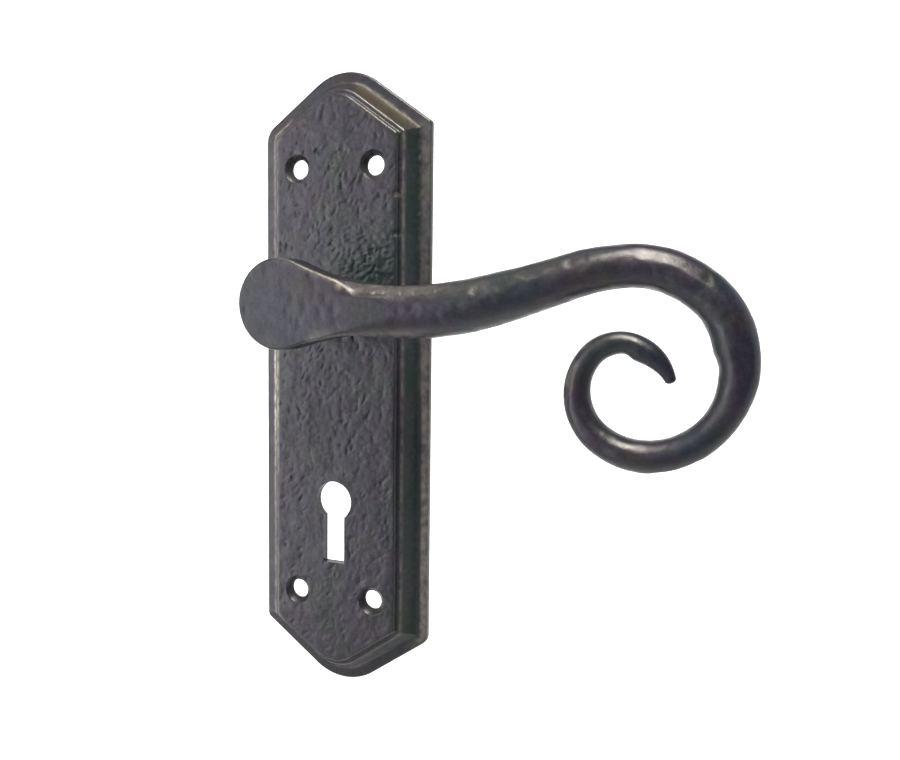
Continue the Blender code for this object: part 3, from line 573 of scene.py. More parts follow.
def in_countersinks(points):
    """1 on the walls of the screw holes' countersinks and of the keyhole, 0 elsewhere."""
    below = smooth(points[:, 1], -PLATE_DEPTH + 0.1, -PLATE_DEPTH + 0.5)
    near = np.full(len(points), 1e9)
    for x, z in (*SCREW_HOLES, (0.0, KEYHOLE_Z), (0.0, KEYHOLE_BOTTOM_Z + 3.5)):
        reach = 1.5 if x == 0.0 else 1.0
        near = np.minimum(near, np.hypot(points[:, 0] - x, points[:, 2] - z) / reach)
    return below * (near < 4.4)


def make_backplate(material):
    plate = make_plate_front()
    combine(plate, plate_cutter(), "DIFFERENCE")
    points = coordinates(plate.data)
    outside = 1 - smooth(vectors(plate.data.vertex_normals, "vector")[:, 1], 0.1, 0.4)
    # The countersinks and the keyhole's walls get painted shade through the hollow layer, and a duller finish.
    countersink_shade, rust = in_countersinks(points), plate_rust(points) * outside
    hollow = smooth(-plate_relief(points), 0.02, 0.16) * outside
    # Painted shade in the right cove, and painted shadow of the arm above it
    cove, arm_shadow = plate_stain(points)
    point_attributes(
        plate, wear=plate_wear(points) * outside, hollow=np.maximum(hollow, countersink_shade), rust=rust,
        stain=np.maximum(cove, arm_shadow) * outside, dull=np.maximum(np.maximum(cove * outside, rust), countersink_shade),
    )
    finish_piece(plate, material, "backplate", "backplate", sharp_deg=50.0)


def finish_piece(thing, material, node, body, sharp_deg=35.0):
    """Shade a new piece, give it its material and let it stand for a CAD node."""
    thing.data.materials.clear()
    thing.data.materials.append(material)
    shade(thing, sharp_deg)
    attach(thing, body)
    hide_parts(node)


# Lever

def arm_line(step):
    """(distance, x, z, heading) along the middle of the arm, from the spindle's axis to the tip."""
    heading = math.radians(ARM_START_DEG)
    ahead, up = math.cos(heading), math.sin(heading)
    count = round(ARM_STRAIGHT / step)
    starts = (ARM_STRAIGHT * i / count for i in range(count))
    line = [(away, away * ahead, away * up, heading) for away in starts]
    distance, x, z = ARM_STRAIGHT, ARM_STRAIGHT * ahead, ARM_STRAIGHT * up
    for radius, sweep_deg in ARM_ARCS:
        sweep, bend = math.radians(sweep_deg), math.copysign(radius, sweep_deg)
        centre_x, centre_z = x - bend * math.sin(heading), z + bend * math.cos(heading)
        count = max(1, round(radius * abs(sweep) / step))
        for turn in (sweep * i / count for i in range(count)):
            x, z = centre_x + bend * math.sin(heading + turn), centre_z - bend * math.cos(heading + turn)
            line.append((distance + radius * abs(turn), x, z, heading + turn))
        heading += sweep
        distance += radius * abs(sweep)
        x, z = centre_x + bend * math.sin(heading), centre_z - bend * math.cos(heading)
    return [*line, (distance, x, z, heading)]


def arm_section(distance):
    """Half height and half depth at a distance along the arm, on a smooth curve through the sections."""
    rows = np.array(ARM_SECTIONS)
    last = len(rows) - 1
    if distance >= rows[last, 0]:
        return rows[last, 1:]
    i = max(k for k in range(last) if rows[k, 0] <= distance)
    before, a, b, after = (rows[min(max(k, 0), last)] for k in range(i - 1, i + 3))
    span = b[0] - a[0]
    t = (distance - a[0]) / span
    slope_a = (b - before) / (b - before)[0] * span * (i > 0)
    slope_b = (after - a) / (after - a)[0] * span
    first = (2 * t ** 3 - 3 * t ** 2 + 1) * a + (t ** 3 - 2 * t ** 2 + t) * slope_a
    second = (3 * t ** 2 - 2 * t ** 3) * b + (t ** 3 - t ** 2) * slope_b
    return (first + second)[1:]


def section_loop(corner, flat_high, flat_deep):
    """(height, depth) round a section: one quarter mirrored, with the flats between cut into steps."""
    quarter = [(h, -d) for h, d in corner]
    front = [(flat_high * (1 - 2 * k / 20), -corner[-1][1]) for k in range(1, 20)]
    side = [(-corner[0][0], flat_deep * (2 * k / 8 - 1)) for k in range(1, 8)]
    loop = quarter + front + [(-h, d) for h, d in reversed(quarter)] + side
    return loop + [(-h, -d) for h, d in loop]


def quarter_turn(last=math.pi / 2):
    """Angles of a section's corner points, from its side to its front."""
    return [last * k / (CORNER_POINTS - 1) for k in range(CORNER_POINTS)]


def place_section(x, z, heading, middle_y, loop):
    up_x, up_z = -math.sin(heading), math.cos(heading)
    return [(x + up_x * h, middle_y + d, z + up_z * h) for h, d in loop]


def eye_rings():
    """Sections of the eye, from its far edge to where the arm's begin."""
    heading = math.radians(ARM_START_DEG)
    half = EYE_THICKNESS / 2
    core = EYE_RADIUS - EYE_EDGE_RADIUS
    rings = []
    count = round(26 / FINE)
    for i in range(count):
        away = EYE_RADIUS * math.cos(math.radians(2 + 88 * i / count))
        last = math.pi / 2 if away <= core else math.acos((away - core) / EYE_EDGE_RADIUS)
        corner = []
        for angle in quarter_turn(last):
            edge = core + EYE_EDGE_RADIUS * math.cos(angle)
            height = math.sqrt(max(edge ** 2 - away ** 2, 0.0))
            corner.append((max(height, 0.01), half - EYE_EDGE_RADIUS + EYE_EDGE_RADIUS * math.sin(angle)))
        loop = section_loop(corner, corner[-1][0], corner[0][1])
        rings.append(place_section(-away * math.cos(heading), -away * math.sin(heading), heading,
                                   EYE_FRONT_Y + half, loop))
    return rings


def arm_rings():
    """Sections of the arm, flat at the eye and then round."""
    rings = []
    for distance, x, z, heading in arm_line(ARM_STEP):
        high, deep = arm_section(distance)
        blend = float(smooth(distance, *ROUND_BETWEEN))
        round_high = EYE_EDGE_RADIUS + (high * 0.97 - EYE_EDGE_RADIUS) * blend
        round_deep = EYE_EDGE_RADIUS + (deep * 0.97 - EYE_EDGE_RADIUS) * blend
        flat_high, flat_deep = high - round_high, deep - round_deep
        corner = [(flat_high + round_high * math.cos(angle), flat_deep + round_deep * math.sin(angle))
                  for angle in quarter_turn()]
        loop = section_loop(corner, flat_high, flat_deep)
        middle_y = EYE_FRONT_Y + deep if distance < FLUSH_TO else ARM_MIDDLE_Y
        rings.append(place_section(x, z, heading, middle_y, loop))
    return rings


def tip_rings():
    """The rounded end of the scroll."""
    distance, x, z, heading = arm_line(ARM_STEP)[-1]
    high, deep = arm_section(distance)
    rings = []
    for angle_deg in (20.0, 40.0, 58.0, 74.0):
        ahead, scale = clockwise(1.0, angle_deg)
        ahead *= TIP_ROUNDING
        half, depth = high * scale, deep * scale
        corner = [(half * (0.03 + 0.97 * math.cos(angle)), depth * (0.03 + 0.97 * math.sin(angle)))
                  for angle in quarter_turn()]
        loop = section_loop(corner, half * 0.03, depth * 0.03)
        place = (x + ahead * math.cos(heading), z + ahead * math.sin(heading))
        rings.append(place_section(*place, heading, ARM_MIDDLE_Y, loop))
    return rings


# Angles round the arm: 0 on the outer side of the curl (the arm's top), 90 in front, 180 on the inner side.
# Flats: distance along the arm, angle, half length, depth, how much longer the softened flat is
HAMMER_FLATS = (
    (31.0, 41.0, 7.0, 0.32, 2.15), (150.0, 0.0, 3.0, 0.40, 1.9), (63.0, 60.0, 4.5, 0.12, 2.4),
    (73.0, 50.0, 4.0, 0.12, 2.4), (84.0, 48.0, 4.0, 0.10, 2.4), (98.0, 58.0, 5.0, 0.16, 2.0),
    (128.0, 75.0, 5.0, 0.20, 2.0), (170.0, 80.0, 4.5, 0.16, 2.0), (183.0, 40.0, 3.5, 0.18, 2.0),
)
# Swellings: where one starts, is highest and ends, its angle, its spread in degrees and its height
SWELLINGS = (
    (111.0, 120.6, 125.5, 180.0, 62.0, 0.72),
    (196.6, 201.0, 210.6, 180.0, 75.0, 0.95),
)
# Single knocks: distance, angle, size and depth
KNOCKS = (
    (105.5, 52.0, 0.9, 0.34), (107.2, 40.0, 0.8, 0.16), (77.0, 60.0, 1.1, 0.20), (66.5, 45.0, 1.0, 0.18),
    (54.0, 70.0, 1.2, 0.20), (44.0, 110.0, 1.0, 0.18), (58.0, 96.0, 1.3, 0.20), (180.5, 60.0, 0.8, 0.14),
    (38.0, 80.0, 1.0, 0.18), (49.0, 88.0, 0.9, 0.18), (33.0, 120.0, 1.0, 0.16), (90.0, 75.0, 0.9, 0.14),
)
# Shallow marks in the eye's front: x, z, size and depth
EYE_MARKS = (
    (2.8, -2.0, 0.7, 0.16), (4.6, -3.6, 0.6, 0.18), (6.4, -4.6, 0.7, 0.16), (1.6, 5.0, 0.8, 0.12),
    (9.6, 7.2, 0.6, 0.20), (10.8, 5.6, 0.7, 0.16), (-8.4, 3.0, 0.6, 0.12), (4.4, 0.8, 0.9, 0.12),
    (8.2, -0.4, 1.0, 0.10), (-3.0, 8.4, 0.8, 0.10), (-9.6, -1.4, 0.8, 0.12), (3.2, -6.8, 0.6, 0.14),
    (12.6, -2.2, 0.9, 0.14), (14.0, 1.4, 0.8, 0.14), (11.0, 1.8, 0.8, 0.12), (16.4, -1.0, 0.9, 0.14),
)
# Small spots of painted glint: distance, angle, size and amount
PAINTED_GLINTS = (
    (17.6, 47.0, 0.8, 0.8), (26.6, 50.0, 0.45, 1.0), (29.0, 46.0, 0.4, 0.9), (31.0, 52.0, 0.3, 0.5),
    (43.5, 46.0, 0.35, 0.7), (34.0, 48.0, 0.3, 0.5), (37.5, 50.0, 0.3, 0.5),
)


def arm_places(points):
    """Each point's distance along the arm, how far it is outwards and forwards from the arm's middle, the arm's
    heading there, and the point's angle and distance from the middle."""
    line = np.array(arm_line(0.5))
    x, y, z = points.T
    best = np.full(len(points), 1e9)
    found = np.zeros(len(points), int)
    for k, (_, line_x, line_z, _) in enumerate(line):
        away = (x - line_x) ** 2 + (z - line_z) ** 2
        nearer = away < best
        best[nearer] = away[nearer]
        found[nearer] = k
    distance, line_x, line_z, heading = line[found].T
    out = -np.sin(heading) * (x - line_x) + np.cos(heading) * (z - line_z)
    along = np.cos(heading) * (x - line_x) + np.sin(heading) * (z - line_z)
    front = ARM_MIDDLE_Y - y
    return distance + along, out, front, heading, np.degrees(np.arctan2(front, out)), np.hypot(front, out)


def turn_from(angle, at_angle):
    """Degrees from one angle round the arm to others, -180 to 180."""
    return (angle - at_angle + 180) % 360 - 180


def reshape_arm(mesh):
    """Press the hammer's flats into the arm and raise its swellings."""
    points = coordinates(mesh)
    distance, out, front, heading, angle, radius = arm_places(points)
    moved = np.zeros(len(points))
    for start, peak, end, at_angle, spread, height in SWELLINGS:
        swell = between(distance, start, peak, peak, end)
        moved += height * swell * bell(turn_from(angle, at_angle) / spread)
    for at, at_angle, length, depth, softness in HAMMER_FLATS:
        turn = np.radians(turn_from(angle, at_angle))
        facing = abs(turn) < 1.2
        high = np.median(radius[(abs(distance - at) < 1.5) & (abs(turn) < 0.12)])
        reach = (high - depth) / np.cos(np.where(facing, turn, 0.0))
        cut = np.where(facing, np.minimum(reach - radius, 0.0), 0.0)
        moved += cut * (1 - smooth(abs(distance - at), length, length * softness))
    scale = moved / np.maximum(radius, 0.5)
    shift = np.column_stack([-np.sin(heading) * out, -front, np.cos(heading) * out])
    set_coordinates(mesh, points + shift * scale[:, None])


def lever_relief(points):
    """Height in millimetres of the lever's skin above its plain shape, at each point."""
    distance, _, _, _, angle, radius = arm_places(points)
    on_arm = smooth(distance, 22.0, 42.0)
    on_eye = 1 - on_arm
    slim = 1 - 0.6 * smooth(distance, 60.0, 200.0)
    in_front = 0.35 + 0.65 * smooth(angle, 55.0, 85.0)
    relief = on_arm * slim * (0.13 * noise(points, 9.0, 21) + 0.12 * in_front * noise(points, 4.2, 22))
    relief += slim * (0.10 * on_arm * in_front + 0.012) * noise(points, 2.0, 27)
    relief += slim * 0.014 * noise(points, 0.9, 23)
    relief += on_eye * (0.06 * noise(points, 7.0, 24) + 0.035 * noise(points, 2.6, 25))
    pits = smooth(noise(points, 1.7, 26), 0.42, 0.95)
    relief -= (0.12 * on_eye + 0.13 * on_arm * slim) * pits
    for at, at_angle, size, depth in KNOCKS:
        turn = np.radians(turn_from(angle, at_angle))
        relief -= depth * bell((distance - at) / size, radius * turn / size)
    on_front = smooth(-points[:, 1], -EYE_FRONT_Y - 2.5, -EYE_FRONT_Y - 1.0)
    for x, z, size, depth in EYE_MARKS:
        relief -= on_front * depth * bell((points[:, 0] - x) / size, (points[:, 2] - z) / (1.6 * size))
    return relief


def lever_wear(points):
    """Where the black is painted lighter: painted highlights on the eye's edges, the first flat and the rolled
    lower edge, painted sheen on the inner scroll, and painted glints at a few specks.
    """
    x, y, z = points.T
    distance, out, _, _, angle, radius = arm_places(points)
    rows = np.array(ARM_SECTIONS)
    above = np.where(x < 0, EYE_RADIUS - np.hypot(x, z), np.interp(distance, rows[:, 0], rows[:, 1]) - out)
    near_edge = bell((y - EYE_FRONT_Y - 0.3) / 0.45, (above - 0.3) / 0.55)
    upper = smooth(z, 2.0, 5.0) * (0.25 * smooth(x, -3.5, 1.5) + 0.75 * smooth(x, 4.0, 12.0))
    wear = near_edge * upper * (1 - smooth(distance, 17.0, 19.5)) * 0.55
    rolled = bell((angle - 148.0) / 15.0) * between(distance, 7.0, 12.0, 34.0, 46.0)
    wear = np.maximum(wear, 0.24 * rolled)
    facet = bell(((angle - 36.0) / 16.0) ** 2) * between(distance, 16.0, 19.0, 34.0, 60.0)
    wear = np.maximum(wear, 0.17 * facet)
    inner = bell((angle - 48.0) / 24.0, (distance - 182.0) / 9.0)
    wear = np.maximum(wear, 0.26 * inner * smooth(noise(points, 3.0, 28), -0.5, 0.6))
    for at, at_angle, size, amount in PAINTED_GLINTS:
        turn = np.radians(angle - at_angle)
        wear = np.maximum(wear, amount * bell((distance - at) / size, radius * turn / size))
    return wear


def make_neck():
    """The neck behind the eye, with a square socket, two flats for the cam plate and the grub screw's hole."""
    neck = turned("neck", NECK_PROFILE, segments=96)
    near, half = SOCKET_CORNER, SOCKET_HALF
    square = [(near, half), (half, near), (half, -near), (near, -half),
              (-near, -half), (-half, -near), (-half, near), (-near, half)]
    combine(neck, prism("socket", square, -26.0, 1.0), "DIFFERENCE")
    for z in ((NECK_FLAT_Z, 9.2), (-9.2, -NECK_FLAT_Z)):
        combine(neck, block("flat", (-9.2, 9.2), (-2.95, 1.0), z), "DIFFERENCE")
    hole = turned("grub_hole", [(GRUB_RADIUS, -10.2), (GRUB_RADIUS, -3.2)], segments=48)
    hole.data.transform(Matrix.Translation((0, GRUB_Y * METRES, 0)) @ Matrix.Rotation(math.pi / 2, 4, "X"))
    combine(neck, hole, "DIFFERENCE")
    return neck


def make_lever(material):
    lever = lofted("lever_casting", eye_rings() + arm_rings() + tip_rings())
    reshape_arm(lever.data)
    push(lever.data, lever_relief(coordinates(lever.data)))
    keep_inside(lever.data)
    combine(lever, make_neck(), "UNION")
    points = coordinates(lever.data)
    point_attributes(lever, wear=lever_wear(points), hollow=smooth(-lever_relief(points), 0.04, 0.25))
    finish_piece(lever, material, "lever", "lever", sharp_deg=45.0)


# Return spring, wound between the plate and the lever

def spring_leg(reach, degrees, y, side):
    """A straight leg from a distance out, in to the coil, which it joins through a small bend."""
    radial = Vector((*clockwise(1.0, degrees), 0.0))
    along = Vector((*clockwise(1.0, degrees + 90.0), 0.0)) * side
    bend_at = SPRING_RADIUS + SPRING_BEND
    points = [radial * (reach + (bend_at - reach) * k / 4) for k in range(4)]
    for i in range(9):
        inwards, sideways = clockwise(SPRING_BEND, 10.0 * i)
        points.append(radial * (bend_at - inwards) + along * (SPRING_BEND - sideways))
    return [(p[0], y, p[1]) for p in points]


def spring_path():
    bend = math.degrees(SPRING_BEND / SPRING_RADIUS)
    path = spring_leg(SPRING_LEGS[0], SPRING_START_DEG, SPRING_FRONT_Y, 1)
    steps = 120
    for i in range(steps + 1):
        x, z = clockwise(SPRING_RADIUS, SPRING_START_DEG + bend + (SPRING_TURN_DEG - 2 * bend) * i / steps)
        path.append((x, SPRING_FRONT_Y + SPRING_RISE * i / steps, z))
    end_deg = SPRING_START_DEG + SPRING_TURN_DEG
    return path + spring_leg(SPRING_LEGS[1], end_deg, SPRING_FRONT_Y + SPRING_RISE, -1)[::-1]


def tube(name, path, radius, sides):
    """A round wire along a path, with slightly rounded ends."""
    path = [Vector(p) for p in path]
    rings = []
    side = None
    for i, point in enumerate(path):
        ahead = (path[min(i + 1, len(path) - 1)] - path[max(i - 1, 0)]).normalized()
        side = (side - ahead * side.dot(ahead)).normalized() if side else ahead.orthogonal().normalized()
        other = ahead.cross(side)
        ring = []
        for k in range(sides):
            turn = 2 * math.pi * k / sides
            ring.append(point + (side * math.cos(turn) + other * math.sin(turn)) * radius)
        rings.append(ring)
    for at, inner in ((0, 1), (-1, -2)):
        centre = path[at]
        outwards = (centre - path[inner]).normalized() * radius * 0.3
        cap = [centre + (p - centre) * 0.7 + outwards for p in rings[at]]
        rings.insert(0 if at == 0 else len(rings), cap)
    return lofted(name, rings)


def make_spring(material):
    spring = tube("return_spring_wire", spring_path(), SPRING_WIRE_RADIUS, 14)
    spring.data.materials.append(material)
    shade(spring, 50.0)
    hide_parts("return_spring")
    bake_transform(spring)


# Materials

# The black finish's tints, for purple, blue, green and brown patches, and its colours for painted shade (green
# and brown) and for painted highlights and worn spots
PLATE_HUES = ((1.14, 0.88, 1.36), (0.80, 0.94, 1.26), (0.80, 1.12, 0.80), (1.26, 1.04, 0.84))
LEVER_HUES = ((1.20, 0.84, 1.50), (0.66, 0.94, 1.50), (0.80, 1.08, 0.98), (1.30, 1.06, 0.78))
SHADE_GREEN = (0.0035, 0.0135, 0.0105)
SHADE_BROWN = (0.021, 0.0135, 0.005)
HIGHLIGHT_AND_WORN_GREY = (0.52, 0.485, 0.42)


def add_node(tree, kind, inputs, **settings):
    """A new node, with each input linked to a socket or set to a value."""
    node = tree.nodes.new(kind)
    for key, value in settings.items():
        setattr(node, key, value)
    for key, value in inputs.items():
        set_input(tree, node.inputs[key], value)
    return node


def set_input(tree, socket, value):
    if isinstance(value, bpy.types.NodeSocket):
        tree.links.new(value, socket)
    else:
        socket.default_value = value


class Nodes:
    """A short way to build a material's node tree."""

    def __init__(self, name):
        self.material = bpy.data.materials.new(name)
        self.material.use_nodes = True
        self.tree = self.material.node_tree
        self.shader = self.tree.nodes["Principled BSDF"]
        self.place = self.tree.nodes.new("ShaderNodeTexCoord").outputs["Object"]

    def add(self, kind, inputs, **settings):
        return add_node(self.tree, kind, inputs, **settings)

    def noise(self, size_mm, detail=3.0, stretch=(1.0, 1.0, 1.0), offset=0.0):
        """Noise, 0 to 1, with features of about this size."""
        inputs = {"Vector": self.place, "Scale": stretch, "Location": (offset, offset * 0.7, offset * 1.3)}
        place = self.add("ShaderNodeMapping", inputs).outputs["Vector"]
        inputs = {"Vector": place, "Scale": 1000.0 / size_mm, "Detail": detail, "Roughness": 0.55}
        return self.add("ShaderNodeTexNoise", inputs).outputs["Fac"]

    def range(self, value, low, high, new_low=0, new_high=1):
        inputs = {"Value": value, "From Min": low, "From Max": high, "To Min": new_low, "To Max": new_high}
        return self.add("ShaderNodeMapRange", inputs).outputs["Result"]

    def math(self, operation, a, b):
        return self.add("ShaderNodeMath", {0: a, 1: b}, operation=operation).outputs["Value"]

    def mix(self, factor, a, b, blend="MIX"):
        """A mix of two colours, each a socket or (red, green, blue)."""
        a, b = ((*colour, 1.0) if isinstance(colour, tuple) else colour for colour in (a, b))
        inputs = {"Factor": factor, "A": a, "B": b}
        return self.add("ShaderNodeMix", inputs, data_type="RGBA", blend_type=blend).outputs["Result"]

    def set(self, **values):
        for key, value in values.items():
            set_input(self.tree, self.shader.inputs[key.replace("_", " ")], value)

    def bump(self, heights):
        """Chain bumps given as (height socket, distance in mm, strength)."""
        normal = None
        for height, distance, strength in heights:
            inputs = {"Height": height, "Distance": distance * METRES, "Strength": strength}
            if normal:
                inputs["Normal"] = normal
            normal = self.add("ShaderNodeBump", inputs).outputs["Normal"]
        self.set(Normal=normal)

    def attribute(self, name):
        return self.add("ShaderNodeAttribute", {}, attribute_name=name).outputs["Fac"]


def black_iron(name, tone, rough, grain, hues):
    """Black finish on iron: faint tints, darker hollows, painted shade in green and brown, and grey for painted
    highlights and worn spots.
    """
    n = Nodes(name)
    purple, blue, green, brown = (tuple(tone * v for v in hue) for hue in hues)
    colour = n.mix(n.range(n.noise(15.0, 2.0), 0.40, 0.60), blue, purple)
    colour = n.mix(n.range(n.noise(11.0, 2.0, offset=3.0), 0.50, 0.66, 0, 0.8), colour, green)
    colour = n.mix(n.range(n.noise(8.0, 3.0, offset=4.0), 0.54, 0.70, 0, 0.7), colour, brown)
    speck = n.range(n.noise(0.8, 4.0, offset=5.0), 0.3, 0.7, 0.65, 1.35)
    grey = n.add("ShaderNodeCombineColor", {0: speck, 1: speck, 2: speck}).outputs[0]
    colour = n.mix(1.0, colour, grey, "MULTIPLY")
    # Darker in the relief's hollows, and painted shade in the countersinks and the keyhole's walls
    colour = n.mix(n.math("MULTIPLY", n.attribute("hollow"), 0.4), colour, (tone * 0.4,) * 3)
    # Painted shade in the right cove and painted shadow of the arm, in dark green
    colour = n.mix(n.attribute("stain"), colour, SHADE_GREEN)
    # Painted shade in the upper right shoulder's cove, in dark brown
    colour = n.mix(n.attribute("rust"), colour, SHADE_BROWN)
    # Grey for painted highlights and worn spots, in patches
    patchy = n.range(n.noise(2.2, 4.0, offset=7.0), 0.35, 0.65, 0.3, 1.0)
    wear = n.math("MULTIPLY", n.attribute("wear"), patchy)
    colour = n.mix(n.math("MULTIPLY", wear, 0.8), colour, HIGHLIGHT_AND_WORN_GREY)
    roughness = n.range(n.noise(3.5, 4.0, offset=9.0), 0.3, 0.7, rough - 0.06, rough + 0.09)
    roughness = n.math("ADD", roughness, n.math("MULTIPLY", n.attribute("dull"), 0.20))
    n.set(Base_Color=colour, Roughness=roughness, Metallic=0.0, IOR=1.5)
    n.bump([(n.noise(0.35, 3.0, offset=11.0), 0.05, grain), (n.noise(1.6, 3.0, offset=13.0), 0.16, grain)])
    return n.material


def plated_steel(name, colour, rough, brush):
    """Plated or drawn steel, with marks running along one axis."""
    n = Nodes(name)
    marks = n.noise(0.5, 4.0, stretch=brush)
    cloudy = n.noise(6.0, 3.0, offset=2.0)
    light, dark, darker = (tuple(min(1.0, v * change) for v in colour) for change in (1.12, 0.78, 0.6))
    tone = n.mix(n.range(cloudy, 0.35, 0.65), dark, light)
    tone = n.mix(n.range(marks, 0.35, 0.75, 0, 0.35), tone, darker)
    n.set(Base_Color=tone, Metallic=1.0, Roughness=n.range(marks, 0.3, 0.7, rough - 0.07, rough + 0.1))
    n.bump([(marks, 0.02, 0.5), (n.noise(2.5, 3.0, offset=4.0), 0.05, 0.3)])
    return n.material


def moulded_nylon(name):
    """Black nylon with a fine matt grain."""
    n = Nodes(name)
    grain = n.noise(0.25, 2.0)
    colour = n.mix(n.range(n.noise(3.0, 2.0), 0.35, 0.65), (0.022, 0.022, 0.024), (0.036, 0.036, 0.038))
    n.set(Base_Color=colour, Roughness=n.range(grain, 0.3, 0.7, 0.42, 0.56), Metallic=0.0)
    n.bump([(grain, 0.02, 0.4)])
    return n.material


def softened(node, material, body, bevel_mm):
    """A piece with the CAD node's own shape and small bevels on its edges, standing for that node."""
    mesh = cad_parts[node].data.copy()
    bm = bmesh.new()
    bm.from_mesh(mesh)
    bmesh.ops.remove_doubles(bm, verts=bm.verts, dist=2e-6)
    bmesh.ops.dissolve_limit(bm, angle_limit=math.radians(1.0), verts=bm.verts, edges=bm.edges)
    bm.to_mesh(mesh)
    bm.free()
    piece = in_scene(f"{node}_detail", mesh)
    modifier = piece.modifiers.new("edges", "BEVEL")
    modifier.width = bevel_mm * METRES
    modifier.segments = 2
    modifier.limit_method = "ANGLE"
    modifier.angle_limit = math.radians(40.0)
    modifier.use_clamp_overlap = True
    finish_piece(piece, material, node, body)


# Pieces with the CAD's own shape: material slot, body, bevel in mm, CAD nodes
SMALL_PIECES = (
    ("zinc_steel", "backplate", 0.12, ("spring_cover",)),
    ("zinc_steel", "lever", 0.12, ("cam_plate",)),
    ("spring_steel", "lever", 0.10, ("circlip",)),
    ("spring_steel", "lever", 0.05, ("wave_washer",)),
    ("spindle_steel", "lever", 0.15, ("spindle",)),
    ("screw_steel", "lever", 0.10, ("grub_screw",)),
    ("nylon", "backplate", 0.10, ("neck_bush",)),
    ("nylon", "backplate", 0.08, ("front_washer",)),
    ("zinc_steel", "backplate", 0.10, ("rest_stop_pin", "limit_stop_pin", "spring_anchor_pin")),
    ("screw_steel", "backplate", 0.08, ("cover_screw_1", "cover_screw_2", "cover_screw_3", "cover_screw_4")),
)


# Floor, light and camera, in metres

SWEEP_FLOOR_Z = -0.60
SWEEP_FRONT_Y = -1.5
SWEEP_BACK_Y = 3.0
SWEEP_HALF_WIDTH = 5.0
SWEEP_WALL = 4.0
SWEEP_BEND = 1.0


def make_stage():
    """A pale floor that curves up into a wall. It is darker in front, where the handle reflects it."""
    n = Nodes("pale_floor")
    pale = n.mix(n.noise(60.0, 2.0), (0.86, 0.86, 0.86), (0.88, 0.88, 0.88))
    back = n.add("ShaderNodeSeparateXYZ", {"Vector": n.place}).outputs["Y"]
    tone = n.mix(n.range(back, -0.60, -0.05), (0.50, 0.50, 0.51), pale)
    n.set(Base_Color=tone, Roughness=0.9, Emission_Color=pale,
          Emission_Strength=n.range(back, -0.50, -0.02, 0.03, 0.42))
    bend_y, bend_z = SWEEP_BACK_Y - SWEEP_BEND, SWEEP_FLOOR_Z + SWEEP_BEND
    line = [(SWEEP_FRONT_Y, SWEEP_FLOOR_Z)]
    line += [(bend_y + x, bend_z - z) for x, z in (clockwise(SWEEP_BEND, 7.5 * i) for i in range(13))]
    line.append((SWEEP_BACK_Y, SWEEP_FLOOR_Z + SWEEP_WALL))
    points = [(x, y, z) for y, z in line for x in (-SWEEP_HALF_WIDTH, SWEEP_HALF_WIDTH)]
    faces = [(2 * i, 2 * i + 1, 2 * i + 3, 2 * i + 2) for i in range(len(line) - 1)]
    mesh = bpy.data.meshes.new("studio_sweep")
    mesh.from_pydata(points, [], faces)
    mesh.shade_smooth()
    mesh.materials.append(n.material)
    sweep = in_scene("studio_sweep", mesh)


# Light from all round: (direction, sharpness, colour times strength)
WORLD_BASE = (0.03, 0.032, 0.035)
WORLD_LOBES = (
    ((0.8, 0.6, 0.0), 3.0, (1.00, 1.18, 1.30)),
    ((-0.8, 0.6, 0.0), 3.0, (1.0, 1.0, 1.0)),
    ((-0.62, -0.78, 0.0), 5.0, (0.50, 0.50, 0.58)),
    ((-0.55, -0.35, 0.75), 5.0, (0.42, 0.41, 0.36)),
)


def make_world():
    """Sum over the lobes: how nearly a direction agrees with the lobe's, to a power, times its colour."""
    world = bpy.data.worlds.new("studio_air")
    bpy.context.scene.world = world
    world.use_nodes = True
    tree = world.node_tree
    direction = add_node(tree, "ShaderNodeTexCoord", {}).outputs["Generated"]
    total = WORLD_BASE
    for towards, sharpness, colour in WORLD_LOBES:
        inputs = {0: direction, 1: Vector(towards).normalized()}
        dot = add_node(tree, "ShaderNodeVectorMath", inputs, operation="DOT_PRODUCT").outputs["Value"]
        positive = add_node(tree, "ShaderNodeMath", {0: dot, 1: 0.0}, operation="MAXIMUM").outputs[0]
        power = add_node(tree, "ShaderNodeMath", {0: positive, 1: sharpness}, operation="POWER").outputs[0]
        inputs = {0: colour, "Scale": power}
        lobe = add_node(tree, "ShaderNodeVectorMath", inputs, operation="SCALE").outputs[0]
        total = add_node(tree, "ShaderNodeVectorMath", {0: total, 1: lobe}, operation="ADD").outputs[0]
    background = tree.nodes["Background"]
    set_input(tree, background.inputs["Color"], total)
    set_input(tree, background.inputs["Strength"], 1.0)


def area_light(name, place, towards, size, power, colour):
    light = bpy.data.lights.new(name, "AREA")
    light.shape = "RECTANGLE"
    light.size, light.size_y = size
    light.energy = power
    light.color = colour
    thing = in_scene(name, light)
    thing.location = place
    thing.rotation_euler = (Vector(towards) - Vector(place)).to_track_quat("-Z", "Y").to_euler()


def make_lights():
    area_light("overhead_softbox", (0.09, -0.40, 0.66), (0.06, 0, 0), (0.30, 0.44), 11.5, (1.0, 0.95, 0.85))
    area_light("overhead_fill", (0.0, -0.20, 0.78), (0.03, 0, 0), (0.8, 0.5), 0.8, (1.0, 0.95, 0.82))
    area_light("left_window", (-0.80, -0.85, -0.08), (0, 0, -0.03), (0.6, 1.1), 6.4, (0.98, 0.95, 1.03))
    area_light("sweep_wash", (-0.9, 0.9, 1.3), (-1.2, 3.0, 0.5), (4.5, 2.0), 95.0, (1.0, 1.0, 1.0))


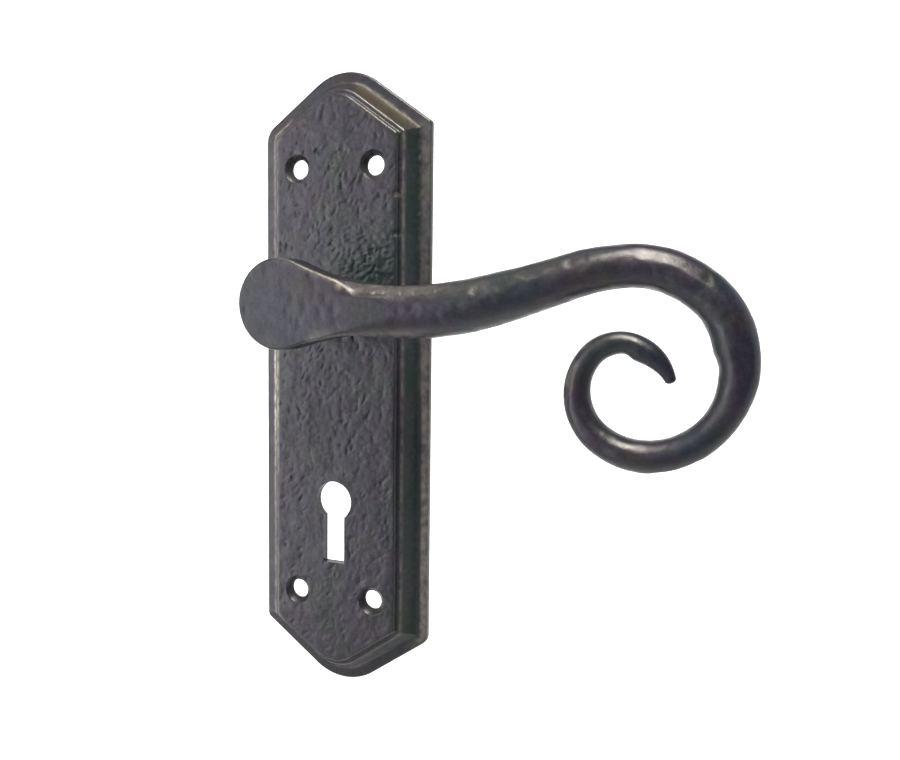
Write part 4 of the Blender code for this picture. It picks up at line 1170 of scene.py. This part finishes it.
CAMERA_AZIMUTH_DEG = 22.0
CAMERA_PITCH_DEG = 3.73
CAMERA_ROLL_DEG = 0.66
CAMERA_PLACE = (0.1206, -0.2177, -0.0002)
CAMERA_LENS = 33.36
CAMERA_SHIFT_Y = -0.0211


def make_camera():
    data = bpy.data.cameras.new("camera")
    data.sensor_fit = "HORIZONTAL"
    data.sensor_width = 36.0
    data.lens = CAMERA_LENS
    data.shift_y = CAMERA_SHIFT_Y
    data.clip_start = 0.005
    data.clip_end = 50.0
    azimuth, pitch, roll = (math.radians(v) for v in (CAMERA_AZIMUTH_DEG, CAMERA_PITCH_DEG, CAMERA_ROLL_DEG))
    right = Vector((math.cos(azimuth), math.sin(azimuth), 0.0))
    level = Vector((-math.sin(azimuth), math.cos(azimuth), 0.0))
    ahead = level * math.cos(pitch) - Vector((0.0, 0.0, math.sin(pitch)))
    up = right.cross(ahead)
    right_rolled = right * math.cos(roll) + up * math.sin(roll)
    up_rolled = up * math.cos(roll) - right * math.sin(roll)
    matrix = Matrix((right_rolled, up_rolled, -ahead)).transposed().to_4x4()
    matrix.translation = CAMERA_PLACE
    camera = in_scene("camera", data)
    camera.matrix_world = matrix
    bpy.context.scene.camera = camera


def dress():
    make_backplate(black_iron("iron_plate", 0.019, 0.33, 0.35, PLATE_HUES))
    make_lever(black_iron("iron_lever", 0.016, 0.35, 0.4, LEVER_HUES))
    looks = {
        "spring_steel": plated_steel("oiled_spring_steel", (0.26, 0.26, 0.28), 0.34, (1.0, 1.0, 1.0)),
        "zinc_steel": plated_steel("zinc_plate", (0.56, 0.57, 0.56), 0.36, (0.12, 1.0, 1.0)),
        "screw_steel": plated_steel("blackened_steel", (0.20, 0.20, 0.21), 0.38, (1.0, 1.0, 1.0)),
        "spindle_steel": plated_steel("drawn_bar", (0.50, 0.51, 0.52), 0.33, (1.0, 0.06, 1.0)),
        "nylon": moulded_nylon("black_nylon"),
    }
    make_spring(looks["spring_steel"])
    for slot, body, bevel_mm, nodes in SMALL_PIECES:
        for node in nodes:
            softened(node, looks[slot], body, bevel_mm)


dress()
make_stage()
make_world()
make_lights()
make_camera()
bpy.context.scene.view_settings.view_transform = "Standard"
